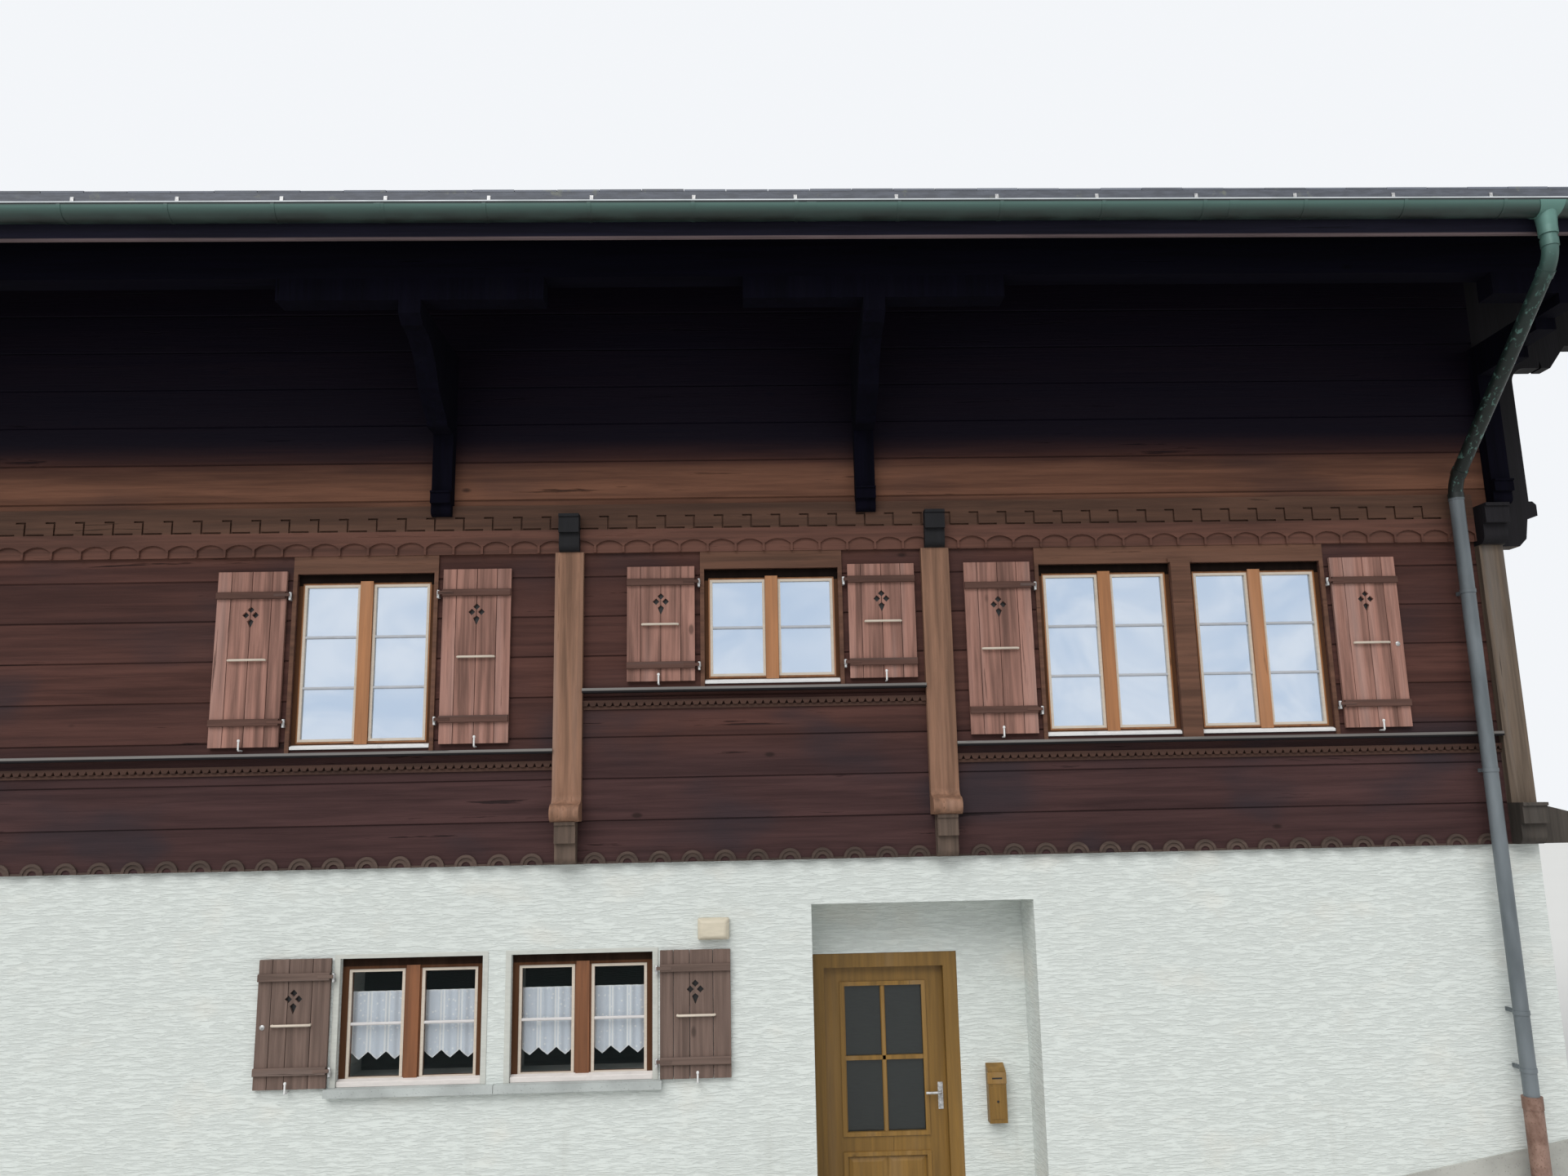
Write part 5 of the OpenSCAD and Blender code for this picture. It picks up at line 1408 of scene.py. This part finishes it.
class CHALET_OT_lace(ChaletPiece, bpy.types.Operator):
    """Hangs pleated lace with a pointed lower edge behind the ground windows."""

    bl_idname = "chalet.lace"
    bl_label = "Lace"

    def make(self, scene):
        sizes = scene.chalet_windows
        for number, (low, high) in enumerate(solids("lace_curtains")):
            self.hang(sizes, number, low, high)

    def hang(self, sizes, number, low, high):
        """Makes one lace, sums its area, hides the imported lace and lets the cloth ride on the house."""
        mesh = bmesh.new()
        layer = mesh.verts.layers.float.new("tone")
        shares = [c / LACE_COLUMNS for c in range(LACE_COLUMNS + 1)]
        grid = [self.column(mesh, layer, sizes, number, low, high, share) for share in shares]
        for left, right in zip(grid, grid[1:]):
            for r in range(LACE_ROWS):
                mesh.faces.new((left[r], right[r], right[r + 1], left[r + 1]))
        area = sum(face.calc_area() for face in mesh.faces)
        data = bpy.data.meshes.new(f"lace_{number}")
        mesh.to_mesh(data)
        mesh.free()
        data.shade_smooth()
        data.materials.append(finish_named("lace"))
        cloth = placed(f"lace_{number}", data)
        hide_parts("lace_curtains")
        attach(cloth, "house")

    def column(self, mesh, layer, sizes, number, low, high, share):
        """Points down the lace at a share of its width. Their tone is 1 on hems and closed bands."""
        x = low.x + (high.x - low.x) * share
        repeats = share * sizes.lace_points
        swing = math.sin(2 * math.pi * share * sizes.lace_points * 2 + number)
        y = (low.y + high.y) / 2 + (0.5 * sizes.lace_fold) * swing
        foot = low.z + LACE_POINT * abs(repeats % 1.0 - 0.5) * 2
        banded = 0.04 < abs((repeats + 0.5) % 1.0 - 0.5) < 0.13
        column = []
        for r in range(LACE_ROWS + 1):
            z = high.z + (foot - high.z) * r / LACE_ROWS
            vert = mesh.verts.new((x, y, z))
            hem = z - foot < LACE_HEMS[0] or high.z - z < LACE_HEMS[1]
            vert[layer] = 1.0 if hem or banded else 0.0
            column.append(vert)
        return column


def flower_holes(x, z, width):
    """Outlines of a shutter's cut-out: three diamonds over a pointed drop."""
    d = width / 2
    petal = [(-0.48, 0.0), (0.0, -0.48), (0.48, 0.0), (0.0, 0.48)]
    holes = [[(a + c, b + e) for a, b in petal] for c, e in ((-0.69, 0.0), (0.69, 0.0), (0.0, 0.77))]
    holes.append([(-0.45, -0.90), (0.0, -1.95), (0.45, -0.90), (0.0, -0.52)])
    return [[(x + a * d, z + b * d) for a, b in hole] for hole in holes]


def flower_share(height):
    """Height of a shutter's cut-out as a part of the shutter's height."""
    return TALL_FLOWER_SHARE if height > TALL_LEAF else LOW_FLOWER_SHARE


def boarded_leaf(sizes, boards, battens, low, high, pierced, chance):
    """Upright boards with two battens before them, from two corners of the box that they fill.

    The cut-out runs over the boards' seams.
    """
    x0, front, foot = low
    x1, _, head = high
    face = front + BATTEN_THICK
    height = head - foot
    holes = []
    if pierced:
        holes = flower_holes((x0 + x1) / 2, foot + height * flower_share(height), sizes.flower)
    a = x0
    for share in BOARDS[storey_of(head)]:
        b = a + (x1 - x0) * share
        edges = rectangle(a + sizes.board_gap / 2, b - sizes.board_gap / 2, foot, head)
        boards.plate(edges, holes, face + 0.0005, face + BOARD_THICK, chance.uniform(0.15, 0.85))
        a = b
    half = sizes.batten_height / 2
    cut = sizes.chamfer
    for share in (BATTEN_SHARE, 1 - BATTEN_SHARE):
        z = foot + height * share
        outline = [
            (face, z - half), (front + cut, z - half), (front, z - half + cut),
            (front, z + half - cut * 2), (front + cut * 2, z + half), (face, z + half),
        ]
        battens.prism(outline, "x", x0 + 0.002, x1 - 0.002, chance.uniform(0.2, 0.8))


class CHALET_OT_front_shutters(ChaletPiece, bpy.types.Operator):
    """Builds the eight hinged shutters with their fittings."""

    bl_idname = "chalet.front_shutters"
    bl_label = "Front shutters"

    def make(self, scene):
        sizes = scene.chalet_shutters
        chance = random.Random(3)
        pins = {joint["child"]: joint["pos_m"] for joint in frame["joints"]}
        for name in sorted(frame["nodes"]):
            if name.startswith("shutter_") and name != "shutter_pins":
                self.leaf(sizes, name, Vector(pins[f"{name}_leaf"]), chance)

    def leaf(self, sizes, name, pin, chance):
        """One leaf with all that turns with it, and the catch that stays on the wall."""
        low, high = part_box(name)
        storey = storey_of(high.z)
        side = -1 if name.endswith("_a") else 1
        near = pin.x + side * LEAF_GAPS[storey]
        far = low.x if side < 0 else high.x
        x0, x1 = sorted((near, far))
        body = f"{name}_leaf"
        finish, batten_finish, slot = SHUTTER_LOOKS[storey]
        boards = Shape()
        battens = Shape()
        front = pin.y + BATTEN_FACE
        boarded_leaf(sizes, boards, battens, (x0, front, low.z), (x1, front, high.z), True, chance)
        made = piece(boards, f"{name}_boards", finish, body, bevel=0.002)
        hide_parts(name)
        piece(battens, f"{name}_battens", batten_finish, body)

        iron = Shape()
        handle = Shape()
        straps = Shape()
        shade_plate = Shape()
        catch = Shape()
        height = high.z - low.z
        span = far - near
        bar_z = low.z + height * HANDLE_SHARE
        self.hinges(iron, straps, pin, near + side * 0.09, low.z, height)
        self.bar(handle, [near + span * share for share in HANDLE_PLACES], pin.y + LEAF_FACE, bar_z, sizes)
        if name in LOCKED_LEAVES:
            place = (near + span * LOCK_SHARE, pin.y + LEAF_FACE, bar_z - 0.012)
            iron.lathe(LOCK_PROFILE, place, (0, -1, 0))
        # A dark plate behind the cut-out: painted shade seen through its holes
        middle = near + span / 2
        back = pin.y + LEAF_BACK
        z = low.z + height * flower_share(height)
        shade_plate.box((middle - 0.06, back - 0.004, z - 0.12), (middle + 0.06, back - 0.002, z + 0.08))
        self.catch(catch, near + span * CATCH_SHARE, pin.y, low.z)
        piece(iron, f"{name}_iron", "fittings", body, soft=True)
        piece(handle, f"{name}_handle", "cream_paint", body, soft=True)
        piece(straps, f"{name}_straps", batten_finish, body, bevel=0.001)
        piece(shade_plate, f"{name}_net", "dark_iron", body)
        piece(catch, f"{name}_catch", "white_paint", soft=True)

    def hinges(self, iron, straps, pin, end, foot, height):
        """Eyes round the pins and the straps that run from them over the battens."""
        slim = EYE_RADIUS - 0.0015
        front = pin.y + BATTEN_FACE
        for share in (BATTEN_SHARE, 1 - BATTEN_SHARE):
            z = foot + height * share
            iron.lathe(
                [(slim, -0.021), (EYE_RADIUS, -0.019), (EYE_RADIUS, 0.020), (slim, 0.022)],
                (pin.x, pin.y, z), (0, 0, 1),
            )
            a, b = sorted((pin.x, end))
            straps.box((a, front - 0.003, z - 0.012), (b, front + 0.009, z + 0.012))

    def bar(self, shape, places, face, z, sizes):
        """The level bar handle, bent back to the boards at its ends."""
        front = face - 0.022
        a, b, c, d = places
        shape.rod(
            [
                (a, face, z), (a, front + 0.006, z), (b, front, z),
                (c, front, z), (d, front + 0.006, z), (d, face, z),
            ],
            sizes.handle_radius,
        )

    def catch(self, shape, x, y, foot):
        """The wall catch: a hook under the leaf with a knob before it."""
        wall = y + 0.045
        front = y + BATTEN_FACE - 0.012
        low_z = foot - 0.024
        knob_z = foot + 0.050
        shape.rod(
            [
                (x, wall - 0.001, low_z), (x, front + 0.006, low_z),
                (x, front, foot - 0.018), (x, front, knob_z),
            ],
            0.007,
        )
        shape.lathe(
            [(0.004, -0.010), (0.010, -0.007), (0.011, 0.0), (0.009, 0.008), (0.004, 0.011)],
            (x, front, knob_z), (0, 0, 1),
        )


class CHALET_OT_rear_shutters(ChaletPiece, bpy.types.Operator):
    """Builds the fixed shutters of the other three sides."""

    bl_idname = "chalet.rear_shutters"
    bl_label = "Rear shutters"

    def make(self, scene):
        sizes = scene.chalet_shutters
        chance = random.Random(11)
        for storey in STOREYS:
            boards = Shape()
            battens = Shape()
            catches = Shape()
            for low, high in boxes_of("rear_shutters", storey, (boards, battens, catches)):
                boarded_leaf(sizes, boards, battens, low, high, False, chance)
                self.catch(catches, (low.x + high.x) / 2, low.y, high.y, low.z)
            finish, batten_finish, slot = SHUTTER_LOOKS[storey]
            name = f"rear_{storey}_shutter"
            made = piece(boards, f"{name}_boards", finish, bevel=0.002)
            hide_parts("rear_shutters")
            piece(battens, f"{name}_battens", batten_finish)
            piece(catches, f"{name}_catches", "white_paint", soft=True)

    def catch(self, shape, x, front, wall, foot):
        """A hook from the wall that holds the leaf from below."""
        low_z = foot - 0.045
        tip_z = foot + 0.06
        shape.rod(
            [
                (x, wall - 0.001, low_z), (x, front, low_z),
                (x, front - 0.010, foot - 0.032), (x, front - 0.012, tip_z),
            ],
            0.008,
        )


class CHALET_OT_ground_trim(ChaletPiece, bpy.types.Operator):
    """Lays smooth plaster bands beside and over the ground windows."""

    bl_idname = "chalet.ground_trim"
    bl_label = "Ground trim"

    def make(self, scene):
        for node, side in (("front_windows", "front"), ("rear_windows", "rear")):
            bands = Shape()
            for low, high in boxes_of(node, "ground", (bands,)):
                face = high.y - FRAME_DEPTH - GROUND_RECESS
                left = low.x + BAND_LAP
                right = high.x - BAND_LAP
                head = high.z - BAND_LAP
                outline = [
                    (low.x - BAND_WIDTH, low.z), (left, low.z), (left, head), (right, head),
                    (right, low.z), (high.x + BAND_WIDTH, low.z),
                    (high.x + BAND_WIDTH, high.z + BAND_HEAD), (low.x - BAND_WIDTH, high.z + BAND_HEAD),
                ]
                bands.plate(outline, [], face - 0.006, face + 0.02)
            piece(bands, f"{side}_plaster_bands", "smooth_plaster", bevel=0.003)


class CHALET_OT_entrance(ChaletPiece, bpy.types.Operator):
    """Trims the door: panels, mouldings, glass, handle and letterbox lid."""

    bl_idname = "chalet.entrance"
    bl_label = "Entrance"

    def make(self, scene):
        low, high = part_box("door")
        x0 = low.x + DOOR_BORDER
        x1 = high.x - DOOR_BORDER
        z0 = low.z + PANE_FOOT
        z1 = high.z - PANE_HEAD
        trim = Shape()
        for foot, head in ((z0, z1), (low.z + PANEL_FOOT, low.z + PANEL_HEAD)):
            outer = grown(x0, x1, foot, head, 0.028)
            inner = grown(x0, x1, foot, head, -0.004)
            trim.plate(outer, [inner], DOOR_FACE - 0.012, DOOR_FACE + 0.02)
        self.bars(trim, x0, x1, z0, z1)
        self.panels(trim, x0, x1, low.z)
        nose = DOOR_FACE - 0.03
        foot = low.z + 0.02
        trim.prism(
            [(DOOR_FACE, foot), (nose, foot), (nose, low.z + 0.035), (DOOR_FACE, low.z + 0.075)],
            "x", low.x + 0.02, high.x - 0.02,
        )
        piece(trim, "door_trim", "door_wood", "door_leaf", bevel=0.002)
        pane = Shape()
        pane.box((x0, DOOR_FACE + 0.024, z0), (x1, DOOR_FACE + 0.0245, z1))
        piece(pane, "door_pane", "door_glass", "door_leaf")
        self.handle(high.x - 0.06, low.z + 1.02)
        self.letterbox()

    def bars(self, trim, x0, x1, z0, z1):
        """The cross of glazing bars before the door's pane."""
        middle = (x0 + x1) / 2
        level = (z0 + z1) / 2
        front = DOOR_FACE - 0.002
        back = DOOR_FACE + 0.026
        trim.prism(chamfered(middle - 0.018, middle + 0.018, front, back, 0.006), "z", z0, z1, 0.4)
        trim.prism(rectangle(front, back, level - 0.016, level + 0.016), "x", x0, x1, 0.6)

    def panels(self, trim, x0, x1, foot):
        """The two raised panels under the pane."""
        middle = (x0 + x1) / 2
        for a, b in ((x0 + 0.012, middle - 0.006), (middle + 0.006, x1 - 0.012)):
            field = (a, b, foot + 0.172, foot + 0.548)
            rings = ((0.0, 0.014), (-0.035, 0.004), (-0.035, 0.0035))
            trim.loft([[(x, DOOR_FACE + d, z) for x, z in grown(*field, edge)] for edge, d in rings], 0.35)

    def handle(self, x, z):
        """The door's lever on its plate, with the lock under it."""
        shape = Shape()
        plate = DOOR_FACE - 0.004
        front = DOOR_FACE - 0.055
        shape.box((x - 0.02, DOOR_FACE - 0.006, z - 0.13), (x + 0.02, DOOR_FACE, z + 0.07))
        shape.rod([(x, plate, z), (x, front + 0.010, z), (x - 0.012, front, z), (x - 0.12, front, z)], 0.010)
        shape.lathe([(0.012, 0.0), (0.012, 0.008), (0.004, 0.009)], (x, plate, z - 0.085), (0, -1, 0))
        piece(shape, "door_handle", "fittings", "door_leaf", soft=True)

    def letterbox(self):
        """Lid, front, slit and lock of the letterbox."""
        low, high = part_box("letterbox")
        y = low.y
        lid = Shape()
        lid.box((low.x - 0.006, y - 0.004, low.z + 0.29), (high.x + 0.004, y + 0.002, low.z + 0.375), 0.6)
        lid.box((low.x + 0.014, y - 0.003, low.z + 0.03), (high.x - 0.014, y + 0.002, low.z + 0.27), 0.3)
        piece(lid, "letterbox_lid", "door_wood", bevel=0.003)
        slit = Shape()
        slit.box((low.x + 0.03, y - 0.0045, low.z + 0.325), (high.x - 0.03, y + 0.001, low.z + 0.337))
        lock = ((low.x + high.x) / 2, y - 0.002, low.z + 0.16)
        slit.lathe([(0.009, 0.0), (0.009, 0.004), (0.004, 0.005)], lock, (0, -1, 0))
        piece(slit, "letterbox_slit", "dark_iron", soft=True)


class CHALET_OT_wall_fittings(ChaletPiece, bpy.types.Operator):
    """Fixes the small lamp on the render."""

    bl_idname = "chalet.wall_fittings"
    bl_label = "Wall fittings"

    def make(self, scene):
        foot = (-0.10, 0.14, 2.44, 2.60)
        front = (-0.07, 0.11, 2.46, 2.575)
        shell = Shape()
        shell.loft([
            [(x, depth - MASONRY_FACE, z) for x, z in rectangle(*corners)]
            for corners, depth in ((foot, 0.001), (foot, -0.05), (front, -0.085))
        ])
        piece(shell, "wall_lamp", "lamp_shell", bevel=0.012, soft=True)


STEPS = (
    CHALET_OT_camera, CHALET_OT_stage, CHALET_OT_finishes, CHALET_OT_slates, CHALET_OT_eaves,
    CHALET_OT_gutter_fittings, CHALET_OT_windows, CHALET_OT_lace, CHALET_OT_front_shutters,
    CHALET_OT_rear_shutters, CHALET_OT_ground_trim, CHALET_OT_entrance, CHALET_OT_wall_fittings,
)

GROUPS = {
    "chalet_roof": RoofSizes,
    "chalet_shutters": ShutterSizes,
    "chalet_windows": WindowSizes,
    "chalet_colours": Colours,
    "chalet_stage": StageSettings,
}


class CHALET_PT_dressing(bpy.types.Panel):
    """Lists the sizes, the colours and the pieces of the chalet."""

    bl_label = "Chalet"
    bl_idname = "CHALET_PT_dressing"
    bl_space_type = "VIEW_3D"
    bl_region_type = "UI"
    bl_category = "Chalet"

    def draw(self, context):
        for name, group in GROUPS.items():
            box = self.layout.box()
            for key in group.__annotations__:
                box.prop(getattr(context.scene, name), key)
        for step in STEPS:
            self.layout.operator(step.bl_idname)


def register():
    """Registers the sizes, the operators and the panel."""
    for name, group in GROUPS.items():
        bpy.utils.register_class(group)
        setattr(bpy.types.Scene, name, PointerProperty(type=group))
    for step in STEPS:
        bpy.utils.register_class(step)
    bpy.utils.register_class(CHALET_PT_dressing)


def unregister():
    """Takes away what register() added."""
    bpy.utils.unregister_class(CHALET_PT_dressing)
    for step in reversed(STEPS):
        bpy.utils.unregister_class(step)
    for name, group in GROUPS.items():
        delattr(bpy.types.Scene, name)
        bpy.utils.unregister_class(group)


def main():
    register()
    for step in STEPS:
        getattr(bpy.ops.chalet, step.bl_idname.split(".")[1])()


if __name__ == "__main__":
    main()
